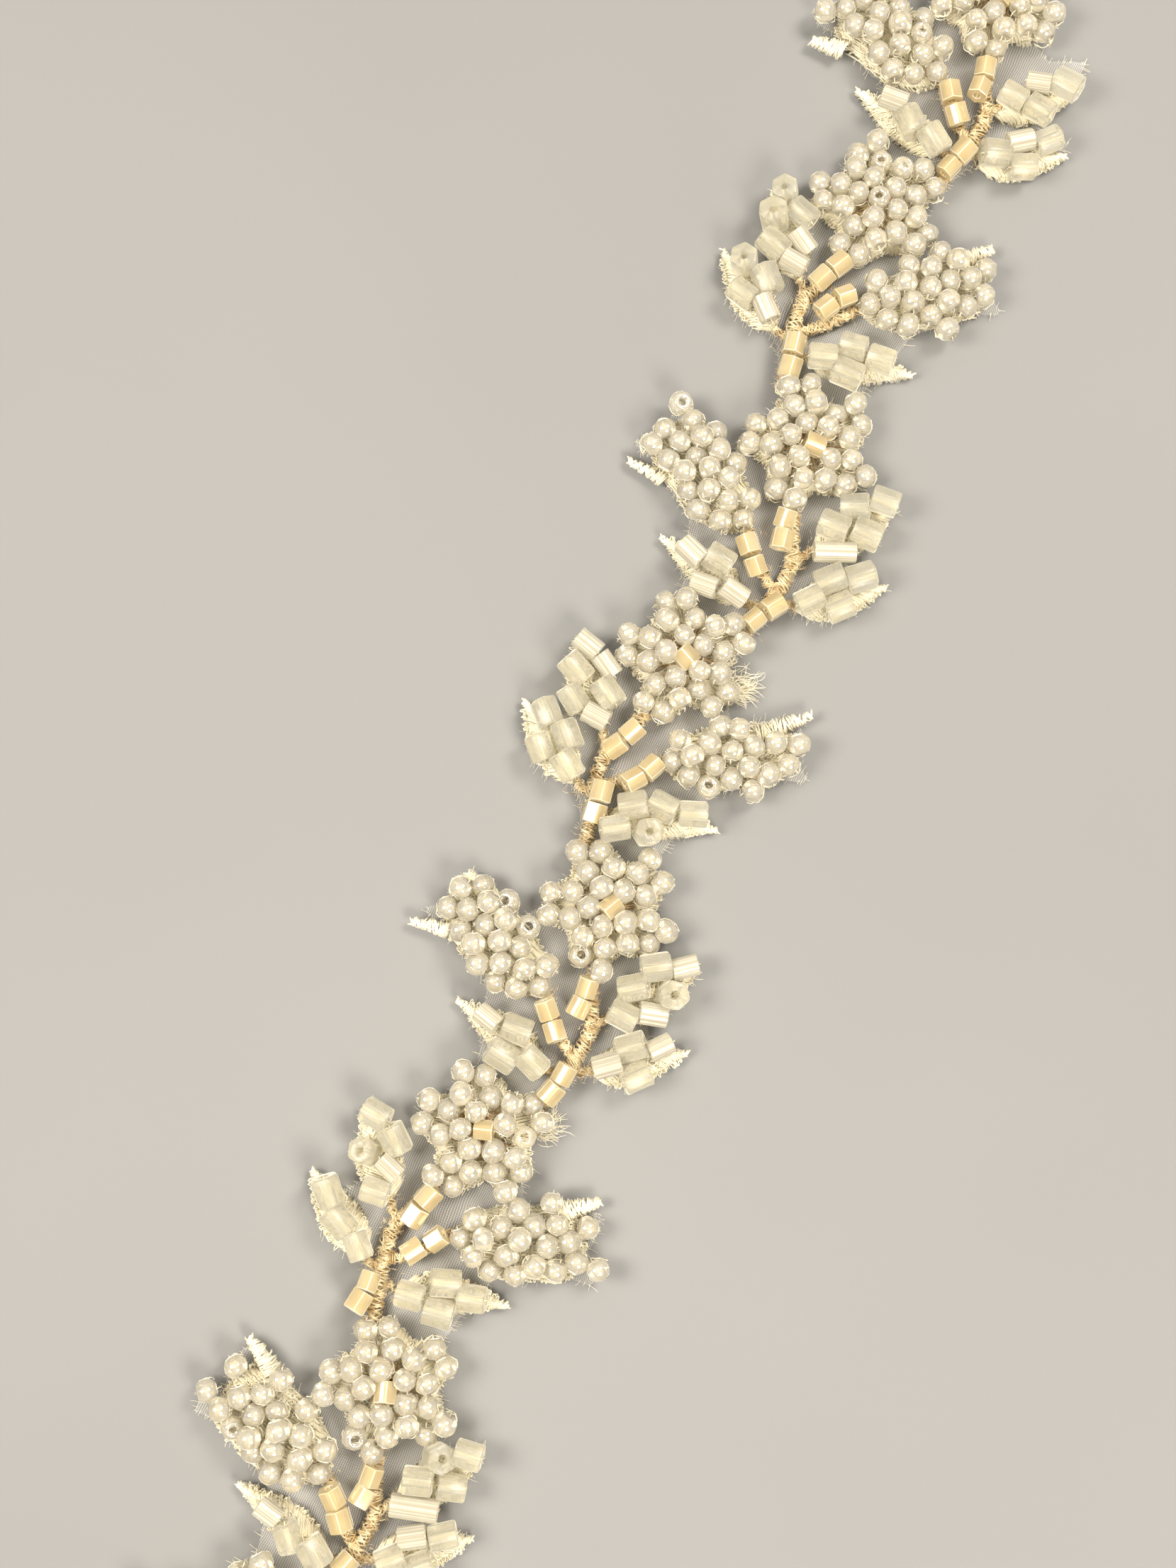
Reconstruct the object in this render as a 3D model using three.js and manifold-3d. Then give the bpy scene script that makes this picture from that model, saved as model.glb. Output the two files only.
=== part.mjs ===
// A length of beaded trim, lying flat: flower sprigs that turn left and right by turns along a narrow
// sheet of organza. Each sprig has a five-petalled beaded flower, a two-pointed beaded bud, three leaves of
// short tube beads, and the wrapped stem that joins them and runs on to the next flower.
// Millimetres, +Z up, +Y along the trim. A sprig is drawn once in its own frame, with its junction near
// (4, -0.5), its flower up and its bud to the left, and every second one is mirrored.
import * as THREE from "three";
import { mergeVertices } from "three/addons/utils/BufferGeometryUtils.js";
import Module from "manifold-3d";

// Driving dimensions.
const SPRIG_PITCH = 23.9;
const SHEET_THICKNESS = 1.0;
const GAP = 0.3; // between one piece and the next
const FOOT = SHEET_THICKNESS + GAP; // underside of everything sewn on the sheet
const SHEET_MARGIN = 0.6; // organza left standing round a flower, bud or leaf
const SHEET_COLUMNS = { flower: 20, bud: 16, leaf: 10 }; // points of the sheet's edge round each

// One row for each sprig, from the upper end: how far it slips along and across from an even spacing, where
// its flower sits and how it is turned, how far its bud leans away from the flower and how full it is.
const SPRIGS = [
  { slip: 0.0, across: 0.0, flowerX: 1.0, flowerY: 13.6, flowerTurn: 4, budLean: 6, budFull: 1.05 },
  { slip: 0.0, across: 0.0, flowerX: 1.7, flowerY: 13.7, flowerTurn: 0, budLean: -10, budFull: 0.92 },
  { slip: -0.1, across: 0.0, flowerX: 1.4, flowerY: 13.5, flowerTurn: -6, budLean: -3, budFull: 0.95 },
  { slip: 0.3, across: 0.0, flowerX: 1.3, flowerY: 13.5, flowerTurn: 3, budLean: -3, budFull: 0.9 },
  { slip: 0.1, across: 0.0, flowerX: 1.4, flowerY: 13.3, flowerTurn: 0, budLean: 2, budFull: 0.92 },
  { slip: 0.4, across: -0.4, flowerX: 0.6, flowerY: 13.3, flowerTurn: 8, budLean: 8, budFull: 1.0 },
  { slip: 0.0, across: -0.6, flowerX: 1.1, flowerY: 13.4, flowerTurn: -4, budLean: 8, budFull: 1.1 },
  { slip: 0.0, across: -0.3, flowerX: 1.3, flowerY: 13.3, flowerTurn: 0, budLean: 3, budFull: 1.0 },
];

// A flower's outline swings between its petals' reach and the valleys between them, which also lie lower.
const FLOWER = {
  petals: 5,
  firstPetal: 56,
  reach: 6.2,
  valley: 4.8,
  valleyRise: 0.6,
  roundness: 0.7,
  columns: 30,
  height: 3.1,
};

// The bud's base, its direction, and its edge in steps away from the base and across it, positive towards
// the leaf below. The two far corners are the points of its petals, with a notch between them.
const BUD = { x: -0.6, y: 3.8, direction: 158, middle: 7.0, columns: 22, height: 2.7 };
const BUD_EDGE = [
  { away: 0.5, across: 0.0 },
  { away: 1.9, across: -2.1 },
  { away: 4.4, across: -3.5 },
  { away: 7.4, across: -4.0 },
  { away: 10.6, across: -4.4 },
  { away: 14.0, across: -3.9 },
  { away: 12.8, across: -0.4 },
  { away: 14.3, across: 3.2 },
  { away: 10.6, across: 2.8 },
  { away: 7.6, across: 3.3 },
  { away: 4.2, across: 3.6 },
  { away: 1.6, across: 1.9 },
];

// Each leaf runs from its base to its tip and is widest nearer the base.
const LEAVES = [
  { name: "leaf_upper", x: 5.6, y: 4.0, tipX: 11.9, tipY: 12.2, width: 5.2, height: 2.4 },
  { name: "leaf_lower", x: 5.6, y: -1.5, tipX: 13.6, tipY: 3.9, width: 5.0, height: 2.4 },
  { name: "leaf_back", x: 2.4, y: -2.8, tipX: -8.0, tipY: -0.1, width: 4.4, height: 2.4 },
];
const LEAF = { columns: 16, swell: 0.78, tipRise: 0.5 }; // swell under 1 moves the widest place towards the base

// Sections from the foot to the crown: how much of its outline a form keeps, and how much of its height it
// has reached there. Beads crowd a flower or bud right to its edge, and dip a little in the middle.
const CLUSTER_SECTION = [
  { spread: 0, up: 0 },
  { spread: 1, up: 0 },
  { spread: 1, up: 0.55 },
  { spread: 0.72, up: 0.95 },
  { spread: 0.3, up: 1 },
  { spread: 0, up: 0.82 },
];
const LEAF_SECTION = [
  { spread: 0, up: 0 },
  { spread: 1, up: 0 },
  { spread: 1, up: 0.35 },
  { spread: 0.62, up: 0.95 },
  { spread: 0, up: 1 },
];

// The stem is a wrapped cord that lies on the sheet: the long run up to the flower, and the run to the bud.
const CORD = { radius: 0.6, sides: 5 };
const MAIN_RUN = [
  { x: 3.2, y: -4.9 },
  { x: 3.7, y: -3.4 },
  { x: 4.3, y: -0.6 },
  { x: 4.5, y: 2.4 },
  { x: 3.2, y: 5.4 },
  { x: 2.8, y: 6.1 },
];
const BUD_RUN = [
  { x: 4.2, y: -0.9 },
  { x: 1.9, y: 0.8 },
  { x: 0.1, y: 2.9 },
];
const RUN_STEPS = { main: 5, bud: 2 };
// Pairs of six-sided beads sewn end to end along the stem, each with the way it points.
const STEM_PAIR = { radius: 1.0, length: 4.0, lift: 1.25 };
const STEM_PAIRS = [
  { x: 2.9, y: 4.3, points: 108 },
  { x: 1.4, y: 1.4, points: 130 },
  { x: 4.0, y: -2.8, points: 76 },
];

// Where the organza fills in between the flower, the bud, the leaves and the next flower.
const WEB = [
  { x: -5.9, y: 10.2 },
  { x: -4.4, y: 12.2 },
  { x: 6.6, y: 12.0 },
  { x: 9.4, y: 10.4 },
  { x: 9.6, y: 5.6 },
  { x: 10.4, y: 4.2 },
  { x: 9.8, y: -0.9 },
  { x: 5.8, y: -2.9 },
  { x: 4.6, y: -5.4 },
  { x: 3.4, y: -7.6 },
  { x: -4.2, y: -7.6 },
  { x: -5.3, y: -2.4 },
  { x: -6.4, y: 0.6 },
  { x: -7.2, y: 3.4 },
];
const END_CUT = -5.4; // where the organza is cut across below the last sprig

const SAME_POINT = 1e-4;
const FLAT_ENOUGH = 0.002; // faces that depart from one plane by less than this are joined into one

const LOOKS = {
  organza: { color: 0xe6e2d8, roughness: 0.6, metalness: 0 },
  pearl_beads: { color: 0xd9d0c0, roughness: 0.15, metalness: 0 },
  frosted_beads: { color: 0xe3ddcc, roughness: 0.5, metalness: 0 },
  stem_thread: { color: 0xdfc794, roughness: 0.6, metalness: 0 },
};

const radians = THREE.MathUtils.degToRad;
const wasm = await Module();
wasm.setup();

function solidOf(geometry, matrix) {
  const bare = geometry.index ? geometry.toNonIndexed() : geometry.clone();
  for (const name of Object.keys(bare.attributes)) {
    if (name !== "position") bare.deleteAttribute(name);
  }
  if (matrix) bare.applyMatrix4(matrix);
  const merged = mergeVertices(bare, SAME_POINT);
  const triVerts = new Uint32Array(merged.index.array);
  if (matrix && matrix.determinant() < 0) triVerts.reverse(); // mirrored, so each face is turned back
  return new wasm.Manifold(new wasm.Mesh({
    numProp: 3,
    vertProperties: merged.attributes.position.array,
    triVerts,
  }));
}

function joined(solids) {
  const whole = solids.reduce((sum, solid) => sum.add(solid)).asOriginal().simplify(FLAT_ENOUGH);
  const mesh = whole.getMesh();
  const geometry = new THREE.BufferGeometry();
  geometry.setAttribute("position", new THREE.BufferAttribute(mesh.vertProperties, 3));
  geometry.setIndex(new THREE.BufferAttribute(mesh.triVerts, 1));
  geometry.computeVertexNormals();
  return geometry;
}

// A crowned form over an outline that is drawn round its own middle. A point of the outline may damp its own
// height with rise.
function crowned(outline, section, height) {
  const profile = section.map(({ spread, up }) => new THREE.Vector2(spread, up));
  const form = new THREE.LatheGeometry(profile, outline.length);
  const place = form.attributes.position;
  for (let i = 0; i < place.count; i++) {
    const point = outline[Math.floor(i / profile.length) % outline.length];
    const { x: spread, y: up } = profile[i % profile.length];
    const rise = THREE.MathUtils.lerp(1, point.rise ?? 1, spread);
    place.setXYZ(i, point.x * spread, point.y * spread, FOOT + height * up * rise);
  }
  return form;
}

function flowerOutline(turn, columns) {
  const points = [];
  for (let i = 0; i < columns; i++) {
    const angle = 2 * Math.PI * i / columns + radians(FLOWER.firstPetal + turn);
    const petal = Math.abs(Math.cos(Math.PI * FLOWER.petals * i / columns)) ** FLOWER.roundness;
    const radius = THREE.MathUtils.lerp(FLOWER.valley, FLOWER.reach, petal);
    points.push({
      x: radius * Math.cos(angle),
      y: radius * Math.sin(angle),
      rise: THREE.MathUtils.lerp(FLOWER.valleyRise, 1, petal),
    });
  }
  return points;
}

function budOutline(full, columns) {
  const edge = BUD_EDGE.map(({ away, across }) => new THREE.Vector3(away - BUD.middle, across * full, 0));
  const curve = new THREE.CatmullRomCurve3(edge, true, "centripetal");
  return curve.getSpacedPoints(columns).slice(0, columns);
}

function leafOutline(leaf, columns) {
  const length = Math.hypot(leaf.tipX - leaf.x, leaf.tipY - leaf.y);
  const perSide = columns / 2;
  const points = [];
  for (let i = 0; i < columns; i++) {
    const side = i < perSide ? -1 : 1;
    const share = i < perSide ? i / perSide : 2 - i / perSide;
    const half = leaf.width / 2 * Math.sin(Math.PI * share ** LEAF.swell);
    points.push({ x: (share - 0.5) * length, y: side * half, rise: share === 1 ? LEAF.tipRise : 1 });
  }
  return points;
}

// Where each outline's middle lies in the sprig's frame, and which way its x axis points.
function placedFlower(sprig) {
  return new THREE.Matrix4().makeTranslation(sprig.flowerX, sprig.flowerY, 0);
}

function placedBud(sprig) {
  return new THREE.Matrix4().makeTranslation(BUD.x, BUD.y, 0)
    .multiply(new THREE.Matrix4().makeRotationZ(radians(BUD.direction + sprig.budLean)))
    .multiply(new THREE.Matrix4().makeTranslation(BUD.middle, 0, 0));
}

function placedLeaf(leaf) {
  const angle = Math.atan2(leaf.tipY - leaf.y, leaf.tipX - leaf.x);
  return new THREE.Matrix4().makeTranslation((leaf.x + leaf.tipX) / 2, (leaf.y + leaf.tipY) / 2, 0)
    .multiply(new THREE.Matrix4().makeRotationZ(angle));
}

function cordRun(route, steps) {
  const rim = [];
  for (let i = 0; i < CORD.sides; i++) {
    const angle = 2 * Math.PI * i / CORD.sides;
    rim.push(new THREE.Vector2(CORD.radius * Math.cos(angle), CORD.radius * Math.sin(angle)));
  }
  const height = FOOT + CORD.radius;
  const path = new THREE.CatmullRomCurve3(route.map(({ x, y }) => new THREE.Vector3(x, y, height)));
  return new THREE.ExtrudeGeometry(new THREE.Shape(rim), { extrudePath: path, steps });
}

function stemPair({ x, y, points }) {
  const pair = new THREE.CylinderGeometry(STEM_PAIR.radius, STEM_PAIR.radius, STEM_PAIR.length, 6);
  pair.rotateY(Math.PI / 6);
  pair.rotateZ(radians(points - 90));
  pair.translate(x, y, FOOT + STEM_PAIR.lift);
  return pair;
}

function stem() {
  const cords = [cordRun(MAIN_RUN, RUN_STEPS.main), cordRun(BUD_RUN, RUN_STEPS.bud)];
  return joined([...cords, ...STEM_PAIRS.map(stemPair)].map((piece) => solidOf(piece)));
}

// The sheet under one outline: the outline let out by the margin, extruded to the sheet's thickness.
function sheetUnder(outline) {
  const grown = outline.map(({ x, y }) => {
    const reach = Math.hypot(x, y);
    return new THREE.Vector2(x, y).multiplyScalar((reach + SHEET_MARGIN) / reach);
  });
  const shape = new THREE.Shape(grown);
  return new THREE.ExtrudeGeometry(shape, { depth: SHEET_THICKNESS, bevelEnabled: false });
}

function sprigSheet(sprig, place, last) {
  const web = WEB.map(({ x, y }) => new THREE.Vector2(x, last ? Math.max(y, END_CUT) : y));
  const pieces = [
    [new THREE.ExtrudeGeometry(new THREE.Shape(web), { depth: SHEET_THICKNESS, bevelEnabled: false }),
      new THREE.Matrix4()],
    [sheetUnder(flowerOutline(sprig.flowerTurn, SHEET_COLUMNS.flower)), placedFlower(sprig)],
    [sheetUnder(budOutline(sprig.budFull, SHEET_COLUMNS.bud)), placedBud(sprig)],
    ...LEAVES.map((leaf) => [sheetUnder(leafOutline(leaf, SHEET_COLUMNS.leaf)), placedLeaf(leaf)]),
  ];
  return pieces.map(([piece, local]) => solidOf(piece, place.clone().multiply(local)));
}

function named(name, geometry, look) {
  const mesh = new THREE.Mesh(geometry, new THREE.MeshStandardMaterial(look));
  mesh.name = name;
  return mesh;
}

function flowerMesh(sprig, number) {
  const outline = flowerOutline(sprig.flowerTurn, FLOWER.columns);
  const form = crowned(outline, CLUSTER_SECTION, FLOWER.height);
  const flower = named(`flower_${number}`, form, LOOKS.pearl_beads);
  flower.applyMatrix4(placedFlower(sprig));
  return flower;
}

function budMesh(sprig, number) {
  const form = crowned(budOutline(sprig.budFull, BUD.columns), CLUSTER_SECTION, BUD.height);
  const bud = named(`bud_${number}`, form, LOOKS.pearl_beads);
  bud.applyMatrix4(placedBud(sprig));
  return bud;
}

function leafMesh(leaf, number) {
  const form = crowned(leafOutline(leaf, LEAF.columns), LEAF_SECTION, leaf.height);
  const blade = named(`${leaf.name}_${number}`, form, LOOKS.frosted_beads);
  blade.applyMatrix4(placedLeaf(leaf));
  return blade;
}

const group = new THREE.Group();
const sheets = [];
SPRIGS.forEach((sprig, i) => {
  const number = i + 1;
  const last = number === SPRIGS.length;
  const placed = new THREE.Group();
  const along = (SPRIGS.length / 2 - 0.5 - i) * SPRIG_PITCH + sprig.slip;
  placed.position.set(sprig.across, along, 0);
  placed.scale.x = i % 2 ? -1 : 1;
  placed.updateMatrix();
  placed.add(flowerMesh(sprig, number), budMesh(sprig, number));
  placed.add(...LEAVES.map((leaf) => leafMesh(leaf, number)));
  placed.add(named(`stem_${number}`, stem(), LOOKS.stem_thread));
  group.add(placed);
  sheets.push(...sprigSheet(sprig, placed.matrix, last));
});
group.add(named("ground", joined(sheets), LOOKS.organza));

// The origin is under the middle of the whole length.
const box = new THREE.Box3().setFromObject(group, true);
const middle = box.getCenter(new THREE.Vector3());
group.position.set(-middle.x, -middle.y, -box.min.z);

export default group;
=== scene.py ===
# %% [markdown]
# # A beaded trim
# The real thing is a narrow strip of organza, embroidered with a stem, leaves, buds and flowers, and
# covered with small glass beads that are sewn down one by one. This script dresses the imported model: the
# sheet becomes sheer cloth, every solid becomes stitching with beads on it, and nothing is moved or
# resized.

# %% Load the frame
import math
import random

import bpy
from mathutils import Matrix, Vector
from mathutils.bvhtree import BVHTree
from mathutils.geometry import intersect_point_line
from mathutils.noise import noise


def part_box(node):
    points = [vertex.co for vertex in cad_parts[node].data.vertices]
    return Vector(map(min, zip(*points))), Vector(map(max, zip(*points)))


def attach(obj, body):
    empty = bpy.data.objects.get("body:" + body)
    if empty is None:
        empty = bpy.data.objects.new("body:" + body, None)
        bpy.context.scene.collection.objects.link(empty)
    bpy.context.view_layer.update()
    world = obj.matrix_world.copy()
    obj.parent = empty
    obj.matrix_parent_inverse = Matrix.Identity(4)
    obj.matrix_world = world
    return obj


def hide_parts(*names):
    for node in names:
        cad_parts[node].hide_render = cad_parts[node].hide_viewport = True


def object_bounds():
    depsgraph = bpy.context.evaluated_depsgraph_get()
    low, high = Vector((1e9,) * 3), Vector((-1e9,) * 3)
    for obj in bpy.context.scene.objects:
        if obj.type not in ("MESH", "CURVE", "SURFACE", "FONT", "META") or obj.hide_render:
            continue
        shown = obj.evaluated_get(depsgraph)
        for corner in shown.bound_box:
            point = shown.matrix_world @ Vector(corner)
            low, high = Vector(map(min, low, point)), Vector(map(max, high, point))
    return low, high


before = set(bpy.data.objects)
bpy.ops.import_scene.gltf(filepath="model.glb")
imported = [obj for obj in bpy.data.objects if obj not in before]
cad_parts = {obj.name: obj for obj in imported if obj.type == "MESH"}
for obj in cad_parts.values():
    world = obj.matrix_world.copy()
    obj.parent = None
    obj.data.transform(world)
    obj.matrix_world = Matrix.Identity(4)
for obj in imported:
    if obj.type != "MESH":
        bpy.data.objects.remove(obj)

MM = 0.001
cad_low, cad_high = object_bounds()
print("trim", [round(side / MM, 1) for side in cad_high - cad_low], "mm")

# %% [markdown]
# ## Camera
# The trim is looked at from almost straight above, a hand's length away, and turned a little in the
# frame, so that its ends run out at two corners. The camera is set first, because everything else is
# judged through it.

# %% Set the camera
CAMERA_DISTANCE = 200 * MM
CAMERA_LENS = 48.8
CAMERA_TILT = math.radians(5.6)
TRIM_TURN = math.radians(23.5)
AIM_FROM_MIDDLE = Vector((-4.4, 4.1, 0)) * MM

middle = (cad_low + cad_high) / 2
aim = Vector((middle.x, middle.y, 0)) + AIM_FROM_MIDDLE
turned = Matrix.Rotation(TRIM_TURN, 4, "Z") @ Matrix.Rotation(CAMERA_TILT, 4, "X")
bpy.ops.object.camera_add()
camera = bpy.context.object
camera.matrix_world = Matrix.Translation(aim) @ turned @ Matrix.Translation((0, 0, CAMERA_DISTANCE))
camera.data.lens = CAMERA_LENS
camera.data.clip_start = 5 * MM
bpy.context.scene.camera = camera

# %% [markdown]
# ## Where each sprig lies
# Every sprig has the same drawing, and every second one is mirrored, as on the real trim. A sprig's place
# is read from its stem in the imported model: the stem's right and upper edges lie at known places in the
# drawing.

# %% Find the sprigs
STEM_RIGHT = 5.45
STEM_TOP = 6.51
SPRIG_COUNT = 8


def sprig_place(number):
    low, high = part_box(f"stem_{number}")
    hand = 1 if number % 2 else -1
    edge = high.x if hand > 0 else low.x
    origin = Vector((edge - hand * STEM_RIGHT * MM, high.y - STEM_TOP * MM, 0))
    return Matrix.Translation(origin) @ Matrix.Diagonal((hand * MM, MM, MM, 1))


places = {number: sprig_place(number) for number in range(1, SPRIG_COUNT + 1)}

# %% [markdown]
# ## Small tools
# A few helpers serve the whole script. Three of them choose what is selected, because an operator acts on
# all that is. One makes a finished piece known to the frame, and one turns a list of runs into thread by
# giving a curve a section and making it a mesh. The section has only three sides, because there are
# thousands of runs, and smooth shading rounds them. The last two find how high a surface stands.

# %% Helpers
THREAD_SIDES = 3


def nothing_selected():
    if bpy.context.object and bpy.context.object.mode != "OBJECT":
        bpy.ops.object.mode_set(mode="OBJECT")
    bpy.ops.object.select_all(action="DESELECT")


def only(piece):
    nothing_selected()
    piece.select_set(True)
    bpy.context.view_layer.objects.active = piece


def picked(piece, kind, rule):
    """Go into edit mode with the faces or vertices selected that a rule picks, and nothing else."""
    only(piece)
    bpy.ops.object.mode_set(mode="EDIT")
    bpy.ops.mesh.select_mode(type=kind)
    bpy.ops.mesh.select_all(action="DESELECT")
    bpy.ops.object.mode_set(mode="OBJECT")
    for item in piece.data.polygons if kind == "FACE" else piece.data.vertices:
        item.select = rule(item)
    bpy.ops.object.mode_set(mode="EDIT")


def finished(piece, slot, *nodes):
    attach(piece, "root")
    if nodes:
        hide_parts(*nodes)
    return piece


def thread_section(thickness):
    """A small triangle, drawn clockwise so that the thread's faces look outwards."""
    section = bpy.data.curves.new("section", "CURVE")
    ring = section.splines.new("POLY")
    ring.points.add(THREAD_SIDES - 1)
    for corner, point in enumerate(ring.points):
        turn = -math.tau * corner / THREAD_SIDES
        point.co = (thickness * MM / 2 * math.cos(turn), thickness * MM / 2 * math.sin(turn), 0, 1)
    ring.use_cyclic_u = True
    piece = bpy.data.objects.new("section", section)
    bpy.context.collection.objects.link(piece)
    return piece


def thread(name, runs, thickness, look):
    """One mesh of many threads. A run is a list of points in metres, each with its share of the thickness."""
    section = thread_section(thickness)
    curve = bpy.data.curves.new(name, "CURVE")
    curve.dimensions = "3D"
    curve.bevel_mode = "OBJECT"
    curve.bevel_object = section
    curve.use_fill_caps = True
    for run in runs:
        spline = curve.splines.new("POLY")
        spline.points.add(len(run) - 1)
        for point, (place, share) in zip(spline.points, run):
            point.co = (*place, 1)
            point.radius = share
    piece = bpy.data.objects.new(name, curve)
    bpy.context.collection.objects.link(piece)
    only(piece)
    bpy.ops.object.convert(target="MESH")
    bpy.data.objects.remove(section)
    bpy.ops.object.mode_set(mode="EDIT")
    bpy.ops.mesh.select_all(action="SELECT")
    bpy.ops.mesh.remove_doubles(threshold=0.0005 * MM)
    bpy.ops.object.mode_set(mode="OBJECT")
    bpy.ops.object.shade_smooth()
    piece.data.materials.clear()
    piece.data.materials.append(look)
    return piece


def surface_of(*pieces):
    """Trees that answer how high the pieces' upper surface stands at a place."""
    depsgraph = bpy.context.evaluated_depsgraph_get()
    return [BVHTree.FromObject(piece, depsgraph) for piece in pieces]


LOOK_DOWN_FROM = 20


def height_at(x, y, trees, otherwise):
    tops = [tree.ray_cast(Vector((x, y, LOOK_DOWN_FROM * MM)), Vector((0, 0, -1)))[0] for tree in trees]
    return max([top.z for top in tops if top] + [otherwise])


# %% [markdown]
# ## Materials
# The beads and threads share two effects. One gives a soft uneven tint, because no two beads or stitches
# are quite alike. The other draws the fine ply of thread as bump. Both are node groups, built once.

# %% Shared node groups
def node_group(name, inputs, outputs):
    group = bpy.data.node_groups.new(name, "ShaderNodeTree")
    for label, kind, value in inputs:
        group.interface.new_socket(label, in_out="INPUT", socket_type=kind).default_value = value
    for label, kind in outputs:
        group.interface.new_socket(label, in_out="OUTPUT", socket_type=kind)
    return group, group.nodes.new("NodeGroupInput"), group.nodes.new("NodeGroupOutput")


def uneven_tint():
    group, given, out = node_group(
        "uneven tint",
        [("Light", "NodeSocketColor", (1, 1, 1, 1)), ("Dark", "NodeSocketColor", (0.5, 0.5, 0.5, 1)),
         ("Scale", "NodeSocketFloat", 400)],
        [("Color", "NodeSocketColor")],
    )
    place = group.nodes.new("ShaderNodeTexCoord")
    cloud = group.nodes.new("ShaderNodeTexNoise")
    cloud.inputs["Detail"].default_value = 3
    spread = group.nodes.new("ShaderNodeMapRange")
    spread.inputs["From Min"].default_value = 0.35
    spread.inputs["From Max"].default_value = 0.65
    mix = group.nodes.new("ShaderNodeMix")
    mix.data_type = "RGBA"
    group.links.new(place.outputs["Object"], cloud.inputs["Vector"])
    group.links.new(given.outputs["Scale"], cloud.inputs["Scale"])
    group.links.new(cloud.outputs["Fac"], spread.inputs["Value"])
    group.links.new(spread.outputs["Result"], mix.inputs["Factor"])
    group.links.new(given.outputs["Dark"], mix.inputs["A"])
    group.links.new(given.outputs["Light"], mix.inputs["B"])
    group.links.new(mix.outputs["Result"], out.inputs["Color"])
    return group


def fine_ply():
    group, given, out = node_group(
        "fine ply",
        [("Scale", "NodeSocketFloat", 9000), ("Strength", "NodeSocketFloat", 0.4)],
        [("Normal", "NodeSocketVector")],
    )
    place = group.nodes.new("ShaderNodeTexCoord")
    grain = group.nodes.new("ShaderNodeTexNoise")
    grain.inputs["Detail"].default_value = 4
    bump = group.nodes.new("ShaderNodeBump")
    bump.inputs["Distance"].default_value = 0.05 * MM
    group.links.new(place.outputs["Object"], grain.inputs["Vector"])
    group.links.new(given.outputs["Scale"], grain.inputs["Scale"])
    group.links.new(given.outputs["Strength"], bump.inputs["Strength"])
    group.links.new(grain.outputs["Fac"], bump.inputs["Height"])
    group.links.new(bump.outputs["Normal"], out.inputs["Normal"])
    return group


UNEVEN_TINT = uneven_tint()
FINE_PLY = fine_ply()


def finish(name, light, dark, tint_scale, ply=None, **values):
    """A Principled finish with an uneven tint, and the thread's ply where it has one."""
    look = bpy.data.materials.new(name)
    look.use_nodes = True
    nodes, links = look.node_tree.nodes, look.node_tree.links
    shader = nodes["Principled BSDF"]
    for label, value in values.items():
        shader.inputs[label.replace("_", " ")].default_value = value
    tint = nodes.new("ShaderNodeGroup")
    tint.node_tree = UNEVEN_TINT
    tint.inputs["Light"].default_value = (*light, 1)
    tint.inputs["Dark"].default_value = (*dark, 1)
    tint.inputs["Scale"].default_value = tint_scale
    links.new(tint.outputs["Color"], shader.inputs["Base Color"])
    if ply:
        grain = nodes.new("ShaderNodeGroup")
        grain.node_tree = FINE_PLY
        grain.inputs["Scale"].default_value = ply[0]
        grain.inputs["Strength"].default_value = ply[1]
        links.new(grain.outputs["Normal"], shader.inputs["Normal"])
    return look


# %% Thread finishes
IVORY_THREAD = finish("ivory thread", (0.92, 0.86, 0.67), (0.84, 0.76, 0.55), 700, (7000, 0.4),
                      Roughness=0.45, Sheen_Weight=0.4, Sheen_Roughness=0.4, Sheen_Tint=(1.0, 0.95, 0.82, 1))
GOLD_THREAD = finish("pale gold thread", (0.86, 0.72, 0.44), (0.44, 0.29, 0.11), 1300, (7000, 0.6),
                     Roughness=0.28, Coat_Weight=0.5, Coat_Roughness=0.1, Sheen_Weight=0.2)
CENTRE_THREAD = finish("golden centre thread", (0.80, 0.62, 0.36), (0.38, 0.23, 0.09), 900, (7000, 0.5),
                       Roughness=0.5, Sheen_Weight=0.15)

# %% [markdown]
# The seed beads are milky clear glass with a pearl shine at their rims, which is a little sheen over a
# body that lets part of the light through. The cut beads are matt glass. The tubes are drawn glass whose
# fine canes run lengthwise, so their stripes follow the bead's own UV map, in which the first axis goes
# round the tube.

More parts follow.
